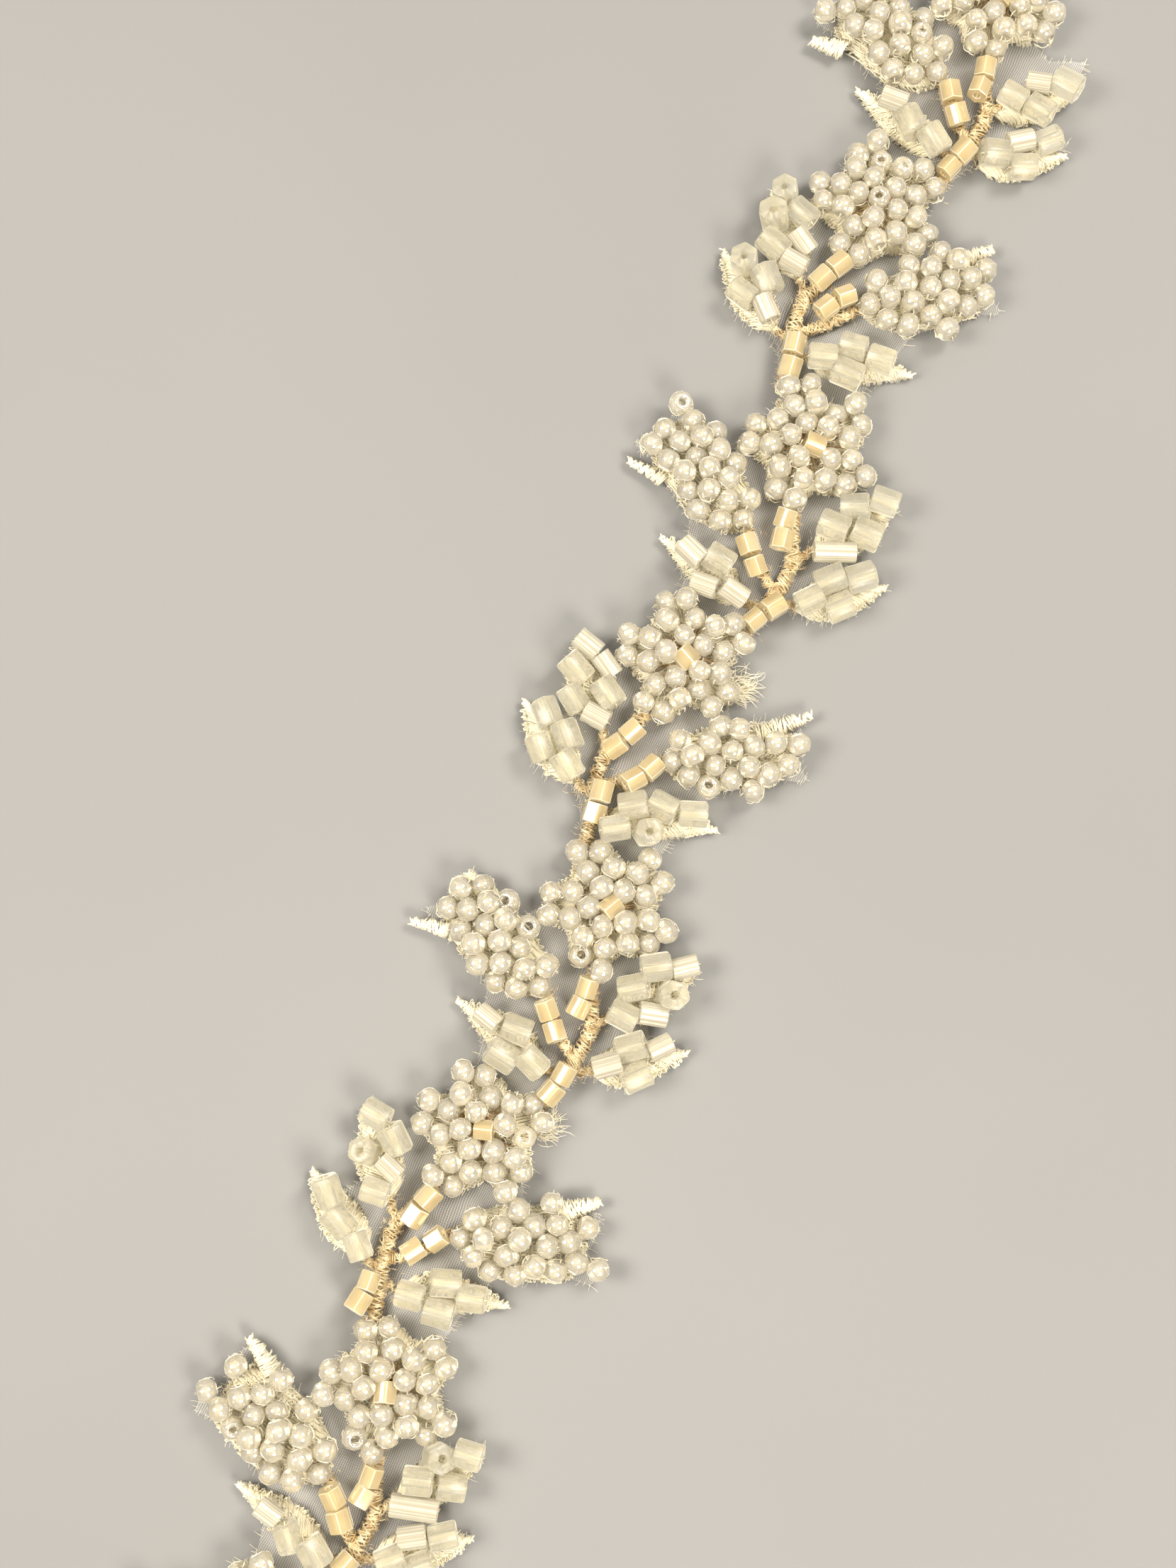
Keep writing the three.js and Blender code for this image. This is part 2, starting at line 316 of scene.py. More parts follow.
# %% Stripes of drawn glass
def drawn_stripes():
    group, given, out = node_group(
        "drawn stripes",
        [("Color", "NodeSocketColor", (1, 1, 1, 1)), ("Between", "NodeSocketColor", (0.5, 0.5, 0.5, 1)),
         ("Count", "NodeSocketFloat", 22), ("Amount", "NodeSocketFloat", 1)],
        [("Color", "NodeSocketColor")],
    )
    nodes, links = group.nodes, group.links
    place = nodes.new("ShaderNodeTexCoord")
    split = nodes.new("ShaderNodeSeparateXYZ")
    count = nodes.new("ShaderNodeMath")
    count.operation = "MULTIPLY"
    stripe = nodes.new("ShaderNodeTexNoise")
    stripe.noise_dimensions = "1D"
    stripe.inputs["Scale"].default_value = 1
    stripe.inputs["Detail"].default_value = 1
    spread = nodes.new("ShaderNodeMapRange")
    spread.inputs["From Min"].default_value = 0.38
    spread.inputs["From Max"].default_value = 0.58
    share = nodes.new("ShaderNodeMath")
    share.operation = "MULTIPLY"
    mix = nodes.new("ShaderNodeMix")
    mix.data_type = "RGBA"
    links.new(place.outputs["UV"], split.inputs["Vector"])
    links.new(split.outputs["X"], count.inputs[0])
    links.new(given.outputs["Count"], count.inputs[1])
    links.new(count.outputs[0], stripe.inputs["W"])
    links.new(stripe.outputs["Fac"], spread.inputs["Value"])
    links.new(spread.outputs["Result"], share.inputs[0])
    links.new(given.outputs["Amount"], share.inputs[1])
    links.new(share.outputs[0], mix.inputs["Factor"])
    links.new(given.outputs["Color"], mix.inputs["A"])
    links.new(given.outputs["Between"], mix.inputs["B"])
    links.new(mix.outputs["Result"], out.inputs["Color"])
    return group


DRAWN_STRIPES = drawn_stripes()


def striped(look, between, count, amount):
    """Put the stripes of drawn glass between a look's tint and its base colour."""
    nodes, links = look.node_tree.nodes, look.node_tree.links
    shader = nodes["Principled BSDF"]
    tint = shader.inputs["Base Color"].links[0].from_node
    stripes = nodes.new("ShaderNodeGroup")
    stripes.node_tree = DRAWN_STRIPES
    stripes.inputs["Between"].default_value = (*between, 1)
    stripes.inputs["Count"].default_value = count
    stripes.inputs["Amount"].default_value = amount
    links.new(tint.outputs["Color"], stripes.inputs["Color"])
    links.new(stripes.outputs["Color"], shader.inputs["Base Color"])
    return look


# %% Bead finishes
PEARL = finish("pearl glass", (1.0, 0.945, 0.79), (0.98, 0.905, 0.70), 450,
               Roughness=0.18, Transmission_Weight=0.75, IOR=1.32,
               Coat_Weight=1.0, Coat_Roughness=0.03, Coat_IOR=2.2,
               Sheen_Weight=0.8, Sheen_Roughness=0.3, Sheen_Tint=(1.0, 0.93, 0.80, 1))
FROSTED = finish("frosted glass", (1.0, 0.97, 0.83), (0.95, 0.91, 0.74), 500, (2500, 0.2),
                 Roughness=0.25, Transmission_Weight=0.8, IOR=1.4,
                 Sheen_Weight=1.0, Sheen_Roughness=0.4, Sheen_Tint=(1.0, 0.95, 0.80, 1))
SATIN = finish("satin glass", (0.96, 0.92, 0.78), (0.88, 0.83, 0.66), 900,
               Roughness=0.12, Transmission_Weight=0.45, IOR=1.45, Coat_Weight=0.6, Coat_Roughness=0.08,
               Sheen_Weight=0.5, Sheen_Roughness=0.4, Sheen_Tint=(1.0, 0.95, 0.80, 1))
CHAMPAGNE = finish("champagne glass", (0.98, 0.86, 0.54), (0.92, 0.75, 0.42), 600,
                   Roughness=0.1, Transmission_Weight=0.65, IOR=1.42, Coat_Weight=1.0, Coat_Roughness=0.03,
                   Sheen_Weight=0.8, Sheen_Roughness=0.35, Sheen_Tint=(1.0, 0.90, 0.65, 1))
# The bevel faces of the champagne beads get this paler, more opaque finish. It is a painted highlight that
# stands in for the glints along their facet edges.
PAINTED_EDGE_GLINT = finish("painted edge glint", (1.0, 0.95, 0.76), (0.90, 0.74, 0.42), 420,
                  Roughness=0.15, Transmission_Weight=0.4, Coat_Weight=0.6, Coat_Roughness=0.08)
striped(SATIN, (0.58, 0.52, 0.38), 26, 0.9)
striped(FROSTED, (0.84, 0.79, 0.64), 9, 0.5)
striped(CHAMPAGNE, (0.86, 0.68, 0.36), 8, 0.5)

# %% [markdown]
# ## The organza
# Organza is a plain weave of thin stiff threads with open gaps, so the cloth is one thin sheet whose
# weave is drawn by its transparency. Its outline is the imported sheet's own. The upper face of that solid
# is kept and drawn in a little at its rim, because stitches reach over the real cut edge. It is then cut
# into a fine grid by bisecting, and given the slight waves of cloth that lies loose.

# %% Weave group
THREAD_PITCH = 0.2 * MM


def organza_weave():
    group, given, out = node_group(
        "organza weave",
        [("Per Metre", "NodeSocketFloat", 1 / THREAD_PITCH), ("Thread", "NodeSocketFloat", 0.24)],
        [("Alpha", "NodeSocketFloat"), ("Height", "NodeSocketFloat")],
    )
    nodes, links = group.nodes, group.links
    place = nodes.new("ShaderNodeTexCoord")
    drift = nodes.new("ShaderNodeTexNoise")
    drift.inputs["Scale"].default_value = 160
    shift = nodes.new("ShaderNodeVectorMath")
    shift.operation = "SCALE"
    shift.inputs["Scale"].default_value = 1.6 * MM
    moved = nodes.new("ShaderNodeVectorMath")
    split = nodes.new("ShaderNodeSeparateXYZ")
    links.new(place.outputs["Object"], drift.inputs["Vector"])
    links.new(drift.outputs["Color"], shift.inputs[0])
    links.new(place.outputs["Object"], moved.inputs[0])
    links.new(shift.outputs["Vector"], moved.inputs[1])
    links.new(moved.outputs["Vector"], split.inputs["Vector"])
    masks = []
    for axis, strength in (("X", 1.0), ("Y", 0.7)):
        count = nodes.new("ShaderNodeMath")
        count.operation = "MULTIPLY"
        links.new(split.outputs[axis], count.inputs[0])
        links.new(given.outputs["Per Metre"], count.inputs[1])
        across = nodes.new("ShaderNodeMath")
        across.operation = "PINGPONG"
        across.inputs[1].default_value = 0.5
        links.new(count.outputs[0], across.inputs[0])
        thin = nodes.new("ShaderNodeMapRange")
        thin.interpolation_type = "SMOOTHSTEP"
        thin.inputs["From Min"].default_value = 0.0
        thin.inputs["To Min"].default_value = strength
        thin.inputs["To Max"].default_value = 0.0
        links.new(across.outputs[0], thin.inputs["Value"])
        links.new(given.outputs["Thread"], thin.inputs["From Max"])
        masks.append(thin)
    both = nodes.new("ShaderNodeMath")
    both.operation = "MAXIMUM"
    links.new(masks[0].outputs["Result"], both.inputs[0])
    links.new(masks[1].outputs["Result"], both.inputs[1])
    alpha = nodes.new("ShaderNodeMapRange")
    alpha.inputs["To Min"].default_value = 0.05
    alpha.inputs["To Max"].default_value = 0.72
    links.new(both.outputs[0], alpha.inputs["Value"])
    links.new(alpha.outputs["Result"], out.inputs["Alpha"])
    links.new(both.outputs[0], out.inputs["Height"])
    return group


ORGANZA = finish("sheer organza", (0.90, 0.88, 0.82), (0.78, 0.75, 0.68), 300,
                 Roughness=0.4, Sheen_Weight=0.3)
organza_nodes, organza_links = ORGANZA.node_tree.nodes, ORGANZA.node_tree.links
weave = organza_nodes.new("ShaderNodeGroup")
weave.node_tree = organza_weave()
raised = organza_nodes.new("ShaderNodeBump")
raised.inputs["Distance"].default_value = 0.04 * MM
organza_links.new(weave.outputs["Height"], raised.inputs["Height"])
organza_links.new(raised.outputs["Normal"], organza_nodes["Principled BSDF"].inputs["Normal"])
organza_links.new(weave.outputs["Alpha"], organza_nodes["Principled BSDF"].inputs["Alpha"])

# %% The sheet itself
SHEET_HEIGHT = 0.3
SHEET_CELL = 1.6
SHEET_WAVE = 0.14
WAVE_LENGTH = 5
SHEET_TRIM = 0.8


def organza_sheet():
    sheet = bpy.data.objects.new("organza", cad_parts["ground"].data.copy())
    bpy.context.collection.objects.link(sheet)
    only(sheet)
    bpy.ops.object.mode_set(mode="EDIT")
    bpy.ops.mesh.select_mode(type="FACE")
    bpy.ops.mesh.select_all(action="SELECT")
    bpy.ops.mesh.remove_doubles(threshold=0.001 * MM)
    picked(sheet, "FACE", lambda face: face.normal.z < 0.5)
    bpy.ops.mesh.delete(type="FACE")
    bpy.ops.mesh.select_all(action="SELECT")
    bpy.ops.mesh.dissolve_limited(angle_limit=math.radians(1))
    bpy.ops.mesh.select_all(action="SELECT")
    bpy.ops.mesh.inset(thickness=SHEET_TRIM * MM, use_boundary=True, use_even_offset=True)
    bpy.ops.mesh.select_all(action="INVERT")
    bpy.ops.mesh.delete(type="FACE")
    low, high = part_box("ground")
    for axis, normal in ((0, (1, 0, 0)), (1, (0, 1, 0))):
        steps = round((high[axis] - low[axis]) / (SHEET_CELL * MM))
        for step in range(1, steps):
            cut = [0, 0, 0]
            cut[axis] = low[axis] + (high[axis] - low[axis]) * step / steps
            bpy.ops.mesh.select_all(action="SELECT")
            bpy.ops.mesh.bisect(plane_co=cut, plane_no=normal)
    bpy.ops.object.mode_set(mode="OBJECT")
    for vertex in sheet.data.vertices:
        x, y = vertex.co.x / MM, vertex.co.y / MM
        vertex.co.z = (SHEET_HEIGHT + SHEET_WAVE * noise(Vector((x, y, 0)) / WAVE_LENGTH)) * MM
    bpy.ops.object.shade_smooth()
    sheet.data.materials.clear()
    sheet.data.materials.append(ORGANZA)
    return sheet


FRAY_STEP = 0.45
FRAY_THICKNESS = 0.05
FRAY_LENGTH = (0.25, 0.9)
FRAY_TUCK = 0.2
FRAY_LOWEST = 0.1
FRAY_SEED = 50


def cut_edge(sheet, dice):
    """Ends of warp and weft that stand out of the cut edge, each along its own direction of the weave."""
    mesh = sheet.data
    used = {}
    for face in mesh.polygons:
        for edge in face.edge_keys:
            used.setdefault(edge, []).append(face.center)
    runs = []
    for (start, end), faces in used.items():
        if len(faces) > 1:
            continue
        first, last = mesh.vertices[start].co, mesh.vertices[end].co
        along = last - first
        out = Vector((along.y, -along.x, 0)).normalized()
        if out.dot(faces[0] - first) > 0:
            out = -out
        heading = Vector((math.copysign(1, out.x), 0, 0))
        if abs(out.y) > abs(out.x):
            heading = Vector((0, math.copysign(1, out.y), 0))
        for _ in range(max(1, round(along.length / (FRAY_STEP * MM)))):
            spot = first.lerp(last, dice.random()) - heading * FRAY_TUCK * MM
            length = dice.uniform(*FRAY_LENGTH) * MM
            sway = Vector((dice.uniform(-0.3, 0.3), dice.uniform(-0.3, 0.3), dice.uniform(-0.1, 0.2)))
            run = []
            for step in range(4):
                share = step / 3
                place = spot + heading * length * share + sway * length * share * share
                place.z = max(place.z, FRAY_LOWEST * MM)
                run.append((place, 1 - 0.4 * share))
            runs.append(run)
    return thread("cut_edge", runs, FRAY_THICKNESS, IVORY_THREAD)


organza = organza_sheet()
fray = finished(cut_edge(organza, random.Random(FRAY_SEED)), "organza")
finished(organza, "organza", "ground")

# %% [markdown]
# ## The drawing of a sprig
# The embroidery follows one drawing: a flower of five petals, a pointed bud, three leaves, and
# the stem that joins them. Everything below is given in millimetres in the drawing's own frame, with the
# flower up and the bud to the left, and only the values in the table differ from sprig to sprig, as
# hand-guided work does.

# %% What differs from sprig to sprig
SPRIGS = {
    1: {"flower": (1.0, 13.6), "turn": 4, "lean": 6, "full": 1.05},
    2: {"flower": (1.7, 13.7), "turn": 0, "lean": -10, "full": 0.92},
    3: {"flower": (1.4, 13.5), "turn": -6, "lean": -3, "full": 0.95},
    4: {"flower": (1.3, 13.5), "turn": 3, "lean": -3, "full": 0.90},
    5: {"flower": (1.4, 13.3), "turn": 0, "lean": 2, "full": 0.92},
    6: {"flower": (0.6, 13.3), "turn": 8, "lean": 8, "full": 1.00},
    7: {"flower": (1.1, 13.4), "turn": -4, "lean": 8, "full": 1.10},
    8: {"flower": (1.3, 13.3), "turn": 0, "lean": 3, "full": 1.00},
}
# A bud ends in one or two points of thread, each from its base to its tip, and in beads beside them. Both
# are given away from the bud's base and across it.
BUD_POINTS = {
    1: [((9.4, 3.4), (12.4, 4.6))],
    2: [((9.4, -3.2), (13.7, -4.1))],
    3: [((9.0, 2.9), (12.6, 4.3))],
    4: [((8.8, -2.3), (14.2, -4.4))],
    5: [((10.4, 2.1), (13.8, 4.2)), ((11.0, -2.8), (13.0, -3.2))],
    6: [((9.2, -3.4), (13.0, -5.1))],
    7: [((9.8, -3.9), (13.5, -4.9))],
    8: [((10.4, 2.3), (13.6, 4.0))],
}
POINT_RADIUS = {3: 0.72, 5: 0.85, 8: 0.85}
BUD_ENDS = {
    1: [(12.7, 1.9)],
    2: [(12.3, -1.6), (7.5, 3.6)],
    3: [(12.4, -3.1), (11.3, 1.2)],
    4: [(11.9, -0.4), (8.4, 3.4)],
    5: [(11.8, -1.6)],
    6: [(12.7, 0.9), (11.9, -2.8)],
    7: [(12.9, -2.6), (13.4, 0.8)],
    8: [(12.0, -1.5)],
}
# Two leaves of the first sprig lie nearer to the stem than the rest: their shift, turn and size.
LEAF_CHANGES = {(1, "leaf_upper"): ((-0.8, -1.1), -15, 0.9), (1, "leaf_lower"): ((-0.2, -1.0), -5, 0.92)}

# %% Outlines of the flower, the bud and the leaves
PETALS = 5
FIRST_PETAL = 56
FLOWER_REACH = 5.5
FLOWER_VALLEY = 4.1
PETAL_ROUND = 0.7
BUD_BASE = Vector((-0.6, 3.8, 0))
BUD_DIRECTION = 158
BUD_EDGE = [(0.0, 0.0), (1.6, -2.1), (4.4, -3.3), (7.4, -3.6), (10.2, -3.8), (11.6, -3.3), (12.2, -2.0),
            (12.3, -0.6), (12.1, 0.9), (11.2, 2.2), (9.8, 2.8), (7.6, 3.0), (4.2, 3.2), (1.4, 1.9)]
LEAVES = {
    "leaf_upper": {"base": (5.6, 4.0), "tip": (11.4, 11.2), "width": 5.2},
    "leaf_lower": {"base": (5.6, -1.5), "tip": (13.6, 3.9), "width": 5.0},
    "leaf_back": {"base": (2.4, -2.8), "tip": (-8.0, -0.1), "width": 4.4},
}
MAIN_RUN = [(2.8, -6.6), (3.1, -5.3), (3.5, -3.6), (4.3, -0.6), (4.5, 2.4), (3.3, 5.2), (2.6, 7.6)]
BUD_RUN = [(4.2, -0.9), (1.9, 0.8), (0.2, 2.7), (-0.7, 3.9)]
TWIGS = [[(4.5, 2.0), (5.0, 3.2), (6.0, 4.6)], [(4.2, -1.5), (5.2, -1.6), (6.2, -1.1)],
         [(4.0, -2.0), (3.0, -2.7), (1.9, -2.7)]]
CORD_HEIGHT = 0.95
LEAF_SWELL = 0.78
LEAF_PAD_SHARE = 0.74


def flower_frame(sprig):
    return Matrix.Translation((*sprig["flower"], 0)) @ Matrix.Rotation(math.radians(sprig["turn"]), 4, "Z")


def bud_frame(sprig):
    turn = math.radians(BUD_DIRECTION + sprig["lean"])
    full = Matrix.Diagonal((1, sprig["full"], 1, 1))
    return Matrix.Translation(BUD_BASE) @ Matrix.Rotation(turn, 4, "Z") @ full


def leaf_frame(number, leaf_name):
    leaf = LEAVES[leaf_name]
    run = Vector(leaf["tip"]) - Vector(leaf["base"])
    shift, turn, size = LEAF_CHANGES.get((number, leaf_name), ((0, 0), 0, 1))
    base = Vector(leaf["base"]) + Vector(shift)
    turn = math.atan2(run.y, run.x) + math.radians(turn)
    return Matrix.Translation((*base, 0)) @ Matrix.Rotation(turn, 4, "Z") @ Matrix.Scale(size, 4)


def leaf_length(leaf):
    return (Vector(leaf["tip"]) - Vector(leaf["base"])).length


def leaf_half(leaf, share):
    return LEAF_PAD_SHARE * leaf["width"] / 2 * math.sin(math.pi * min(max(share, 0), 1) ** LEAF_SWELL)


def flower_rim(angle):
    petal = abs(math.cos(PETALS / 2 * (angle - math.radians(FIRST_PETAL)))) ** PETAL_ROUND
    return FLOWER_VALLEY + (FLOWER_REACH - FLOWER_VALLEY) * petal


def flower_outline(count=60):
    angles = [math.tau * step / count for step in range(count)]
    return [(flower_rim(a) * math.cos(a), flower_rim(a) * math.sin(a)) for a in angles]


def leaf_outline(leaf, per_side=12):
    length = leaf_length(leaf)
    near = [(length * s / per_side, -leaf_half(leaf, s / per_side)) for s in range(per_side)]
    far = [(length * s / per_side, leaf_half(leaf, s / per_side)) for s in range(per_side, 0, -1)]
    return near + far


# %% [markdown]
# ## Padding under the stitches
# Raised embroidery is worked over a pad of filling stitches, so each motif is a low pillow. A flat circle
# is shaped to the motif's outline, lifted by an extrusion and two insets, and rounded by subdivision. The
# stitches and beads then lie on this pillow: a ray sent down from above finds its height at any place.

# %% Pads
PAD_FOOT = 0.32
PAD_WALL = 0.25
PAD_STEPS = ((0.5, 0.45), (0.9, 0.35))
LEAF_PAD_STEPS = ((0.35, 0.4), (0.5, 0.35))


def pad(name, outline, frame_of_motif, number, look, steps=PAD_STEPS):
    bpy.ops.object.select_all(action="DESELECT")
    bpy.ops.mesh.primitive_circle_add(vertices=len(outline), radius=1, fill_type="NGON")
    piece = bpy.context.object
    piece.name = name
    for vertex, (x, y) in zip(piece.data.vertices, outline):
        vertex.co = frame_of_motif @ Vector((x, y, 0)) + Vector((0, 0, PAD_FOOT))
    piece.data.update()
    if piece.data.polygons[0].normal.z < 0:
        piece.data.flip_normals()
    bpy.ops.object.mode_set(mode="EDIT")
    bpy.ops.mesh.select_mode(type="FACE")
    bpy.ops.mesh.select_all(action="SELECT")
    bpy.ops.mesh.extrude_region_move(TRANSFORM_OT_translate={"value": (0, 0, PAD_WALL)})
    for thickness, depth in steps:
        bpy.ops.mesh.inset(thickness=thickness, depth=depth)
    bpy.ops.object.mode_set(mode="OBJECT")
    rounded = piece.modifiers.new("rounded", "SUBSURF")
    rounded.levels = rounded.render_levels = 1
    bpy.ops.object.modifier_apply(modifier="rounded")
    piece.data.transform(places[number])
    if places[number].determinant() < 0:
        piece.data.flip_normals()
    bpy.ops.object.shade_smooth()
    piece.data.materials.append(look)
    return piece

# %% [markdown]
# ## Satin stitches
# Satin stitch is a row of straight strands that lie side by side. Painted stripes would stay flat at the
# rim, where the real strands loop round the edge, so each strand is its own thin run of thread. A run is
# first drawn flat, then laid on the pads, and its ends dive into the cloth.

# %% Lay a run on the pads
STRAND = 0.22
END_DROP = 0.2
STITCH_LOWEST = 0.2


def laid(number, drawn, trees, lift):
    """Points of the drawing, set on the surface below them. The two ends go down into the cloth."""
    run = []
    for step, point in enumerate(drawn):
        place = places[number] @ Vector((point[0], point[1], 0))
        top = height_at(place.x, place.y, trees, SHEET_HEIGHT * MM)
        at_end = step in (0, len(drawn) - 1)
        place.z = top + (lift - (END_DROP if at_end else 0)) * MM
        place.z = max(place.z, STITCH_LOWEST * MM)
        run.append((place, 0.8 if at_end else 1))
    return run


def between(start, end, steps, sway):
    """Points from start to end, bowed sideways by sway."""
    start, end = Vector(start), Vector(end)
    side = Vector((start.y - end.y, end.x - start.x)).normalized() * sway
    shares = [step / steps for step in range(steps + 1)]
    return [start.lerp(end, share) + side * math.sin(math.pi * share) for share in shares]


# %% Stitches of a flower
FLOWER_STRANDS = 250
HEART_STRANDS = 110


def flower_stitches(sprig, dice):
    drawing = flower_frame(sprig)
    outer, inner = [], []
    for step in range(FLOWER_STRANDS):
        angle = math.tau * (step + dice.uniform(-0.5, 0.5)) / FLOWER_STRANDS
        rim = flower_rim(angle) * dice.uniform(0.95, 1.05)
        start = dice.uniform(1.7, 3.6)
        lean = dice.uniform(-0.12, 0.12)
        near = Vector((start * math.cos(angle + lean), start * math.sin(angle + lean)))
        far = Vector((rim * math.cos(angle), rim * math.sin(angle)))
        outer.append([drawing @ point.to_3d() for point in between(near, far, 5, dice.uniform(-0.1, 0.1))])
    for _ in range(HEART_STRANDS):
        angle = dice.uniform(0, math.tau)
        start, end = dice.uniform(0.1, 0.9), dice.uniform(2.0, 3.4)
        lean = dice.uniform(-0.25, 0.25)
        near = Vector((start * math.cos(angle + lean), start * math.sin(angle + lean)))
        far = Vector((end * math.cos(angle), end * math.sin(angle)))
        inner.append([drawing @ point.to_3d() for point in between(near, far, 4, dice.uniform(-0.12, 0.12))])
    return outer, inner


# %% Stitches of a bud
FIRST_ROW = -4.3
LAST_ROW = 3.5
ROW_STEP = (0.10, 0.17)


def spans(outline, across):
    """Where a line across the outline goes in and out of it."""
    crossings = []
    for (x0, y0), (x1, y1) in zip(outline, outline[1:] + outline[:1]):
        if (y0 > across) != (y1 > across):
            crossings.append(x0 + (across - y0) * (x1 - x0) / (y1 - y0))
    crossings.sort()
    return zip(crossings[::2], crossings[1::2])


def bud_stitches(sprig, dice):
    drawing = bud_frame(sprig)
    runs = []
    across = FIRST_ROW
    while across < LAST_ROW:
        for start, end in spans(BUD_EDGE, across):
            place = start - 0.1
            while place < end - 0.5:
                reach = min(place + dice.uniform(2.2, 4.2), end + dice.uniform(0.0, 0.25))
                slant = dice.uniform(-0.35, 0.35)
                drawn = between((place, across), (reach, across + slant), 5, dice.uniform(-0.1, 0.1))
                runs.append([drawing @ point.to_3d() for point in drawn])
                place = reach - dice.uniform(0.3, 0.8)
        across += dice.uniform(*ROW_STEP)
    return runs


# %% Stitches of a leaf
LEAF_STEP = (0.11, 0.17)


def leaf_stitches(leaf, drawing, dice):
    length = leaf_length(leaf)
    runs = []
    for side in (-1, 1):
        place = 0.2
        while place < length - 0.6:
            ahead = min(place + dice.uniform(1.2, 1.8), length - 0.1)
            rim = leaf_half(leaf, ahead / length) * dice.uniform(0.98, 1.06) + dice.uniform(0.0, 0.15)
            drawn = between((place, side * -0.2), (ahead, side * rim), 5, dice.uniform(-0.08, 0.08))
            runs.append([drawing @ point.to_3d() for point in drawn])
            place += dice.uniform(*LEAF_STEP)
    return runs


# %% [markdown]
# ## Wrapped points and loose loops
# Each leaf and bud ends in a firm little point, where the last stitches are wound over a narrowing pad.
# The wraps cross each other, so the point looks knotted and not like a screw. Along the edges, stray
# loops of floss stand out from the satin, and short fibres stick out between the beads. These small
# disorders are what makes the edge read as thread and not as a moulded rim.

# %% Points, loops and fibres
def wraps(number, path, radii, height, slide, dice):
    """Short wraps of floss round a core, one at each point of the path, each with its own slant and reach."""
    runs = []
    for here, ahead, radius in zip(path, path[1:], radii):
        along = (ahead - here).normalized()
        side = Vector((-along.y, along.x))
        slant = dice.uniform(0.3, 1.0) * slide * dice.choice((-1, 1))
        start, reach = dice.uniform(-0.5, 0.6), dice.uniform(1.8, 3.2)
        wide, run = radius * dice.uniform(0.95, 1.2), []
        for step in range(5):
            around = start + reach * step / 4
            flat = here + along * slant * (step / 4 - 0.5) + side * wide * math.cos(around)
            drawn = Vector((flat.x, flat.y, height + 0.9 * wide * math.sin(around)))
            run.append((places[number] @ drawn, dice.uniform(0.75, 1.1)))
        runs.append(run)
    return runs


def knotted_point(number, base, tip, radius, dice, count):
    """A narrowing core with short wraps of floss round it."""
    base, tip = Vector(base), Vector(tip)
    path = [base.lerp(tip, step / count) for step in range(count + 1)]
    radii = [radius * (1 - 0.6 * step / count) for step in range(count)]
    height = PAD_FOOT + 0.8 * radius
    core = []
    for step in range(4):
        share = step / 3
        drawn = base.lerp(tip, share * 0.96).to_3d() + Vector((0, 0, height))
        core.append((places[number] @ drawn, 1.8 * radius * (1 - 0.75 * share) / STRAND))
    return wraps(number, path, radii, height, 0.7, dice) + [core]


def loops(number, drawing, rim, dice, count, reach):
    """Small loops that stand out along a rim, which is given as points of the motif."""
    runs = []
    for _ in range(count):
        place = dice.randrange(1, len(rim) - 1)
        here, ahead = Vector(rim[place]), Vector(rim[place + 1])
        here = here.lerp(ahead, dice.random())
        along = (ahead - Vector(rim[place - 1])).normalized()
        out = Vector((along.y, -along.x))
        far, wide = dice.uniform(0.4, 1.0) * reach, dice.uniform(0.06, 0.2)
        height = dice.uniform(0.45, 0.9)
        run = []
        for step in range(7):
            turn = math.pi * step / 6
            point = here + along * wide * math.cos(turn) + out * (far * math.sin(turn) - 0.25)
            drawn = drawing @ point.to_3d()
            drawn.z = height + 0.25 * math.sin(turn)
            run.append((places[number] @ drawn, 0.6))
        runs.append(run)
    return runs


TUFT_FAN = 0.45


def fibres(number, centre, dice, count, spread, reach, low, high, towards=None, trees=None):
    """Short curved fibres round a place, or in a tuft that points one way. With trees, only over pads."""
    runs = []
    for _ in range(count):
        heading = dice.uniform(0, math.tau) if towards is None else towards + dice.gauss(0, TUFT_FAN)
        length = reach * dice.uniform(0.4, 1.0)
        curl = dice.uniform(-1.6, 1.6)
        spot = Vector((centre[0] + dice.gauss(0, spread), centre[1] + dice.gauss(0, spread),
                       dice.uniform(low, high)))
        foot = places[number] @ spot
        if trees and not height_at(foot.x, foot.y, trees, 0):
            continue
        run = []
        for step in range(4):
            run.append((places[number] @ spot, 0.26 if step < 3 else 0.12))
            ahead = Vector((math.cos(heading), math.sin(heading), dice.uniform(-0.15, 0.15)))
            spot = spot + ahead * length / 3
            heading += curl / 3
        runs.append(run)
    return runs


CURL_POINTS = 8
CURL_STEP = 0.2


def curls(number, centre, dice, count, spread, trees):
    """Curly floss that lies on the pads and hides the straight strands here and there."""
    runs = []
    for _ in range(count):
        spot = Vector((centre[0] + dice.gauss(0, spread), centre[1] + dice.gauss(0, spread), 0))
        heading, curl = dice.uniform(0, math.tau), dice.uniform(0.5, 1.1) * dice.choice((-1, 1))
        lift, run = dice.uniform(0.12, 0.4), []
        for _ in range(CURL_POINTS):
            place = places[number] @ spot
            top = height_at(place.x, place.y, trees, 0)
            if not top:
                break
            place.z = top + (lift + dice.uniform(-0.08, 0.08)) * MM
            run.append((place, dice.uniform(0.45, 0.8)))
            spot += Vector((math.cos(heading), math.sin(heading), 0)) * CURL_STEP
            heading += curl
        if len(run) > 3:
            runs.append(run)
    return runs


# %% [markdown]
# ## Embroider every sprig
# The pads come first, then the strands that lie on them. The golden strands at a flower's heart stay a
# piece of their own, because their colour differs. All strands of one motif are one mesh.

# %% Embroider
LEAF_POINT = (-2.6, 0.0)
LEAF_POINT_RADIUS = 0.58
BUD_POINT_RADIUS = 1.0
LEAF_WRAPS = 34
BUD_WRAPS = 50
HEART_SHARE = 0.8
STITCH_SEED = 100


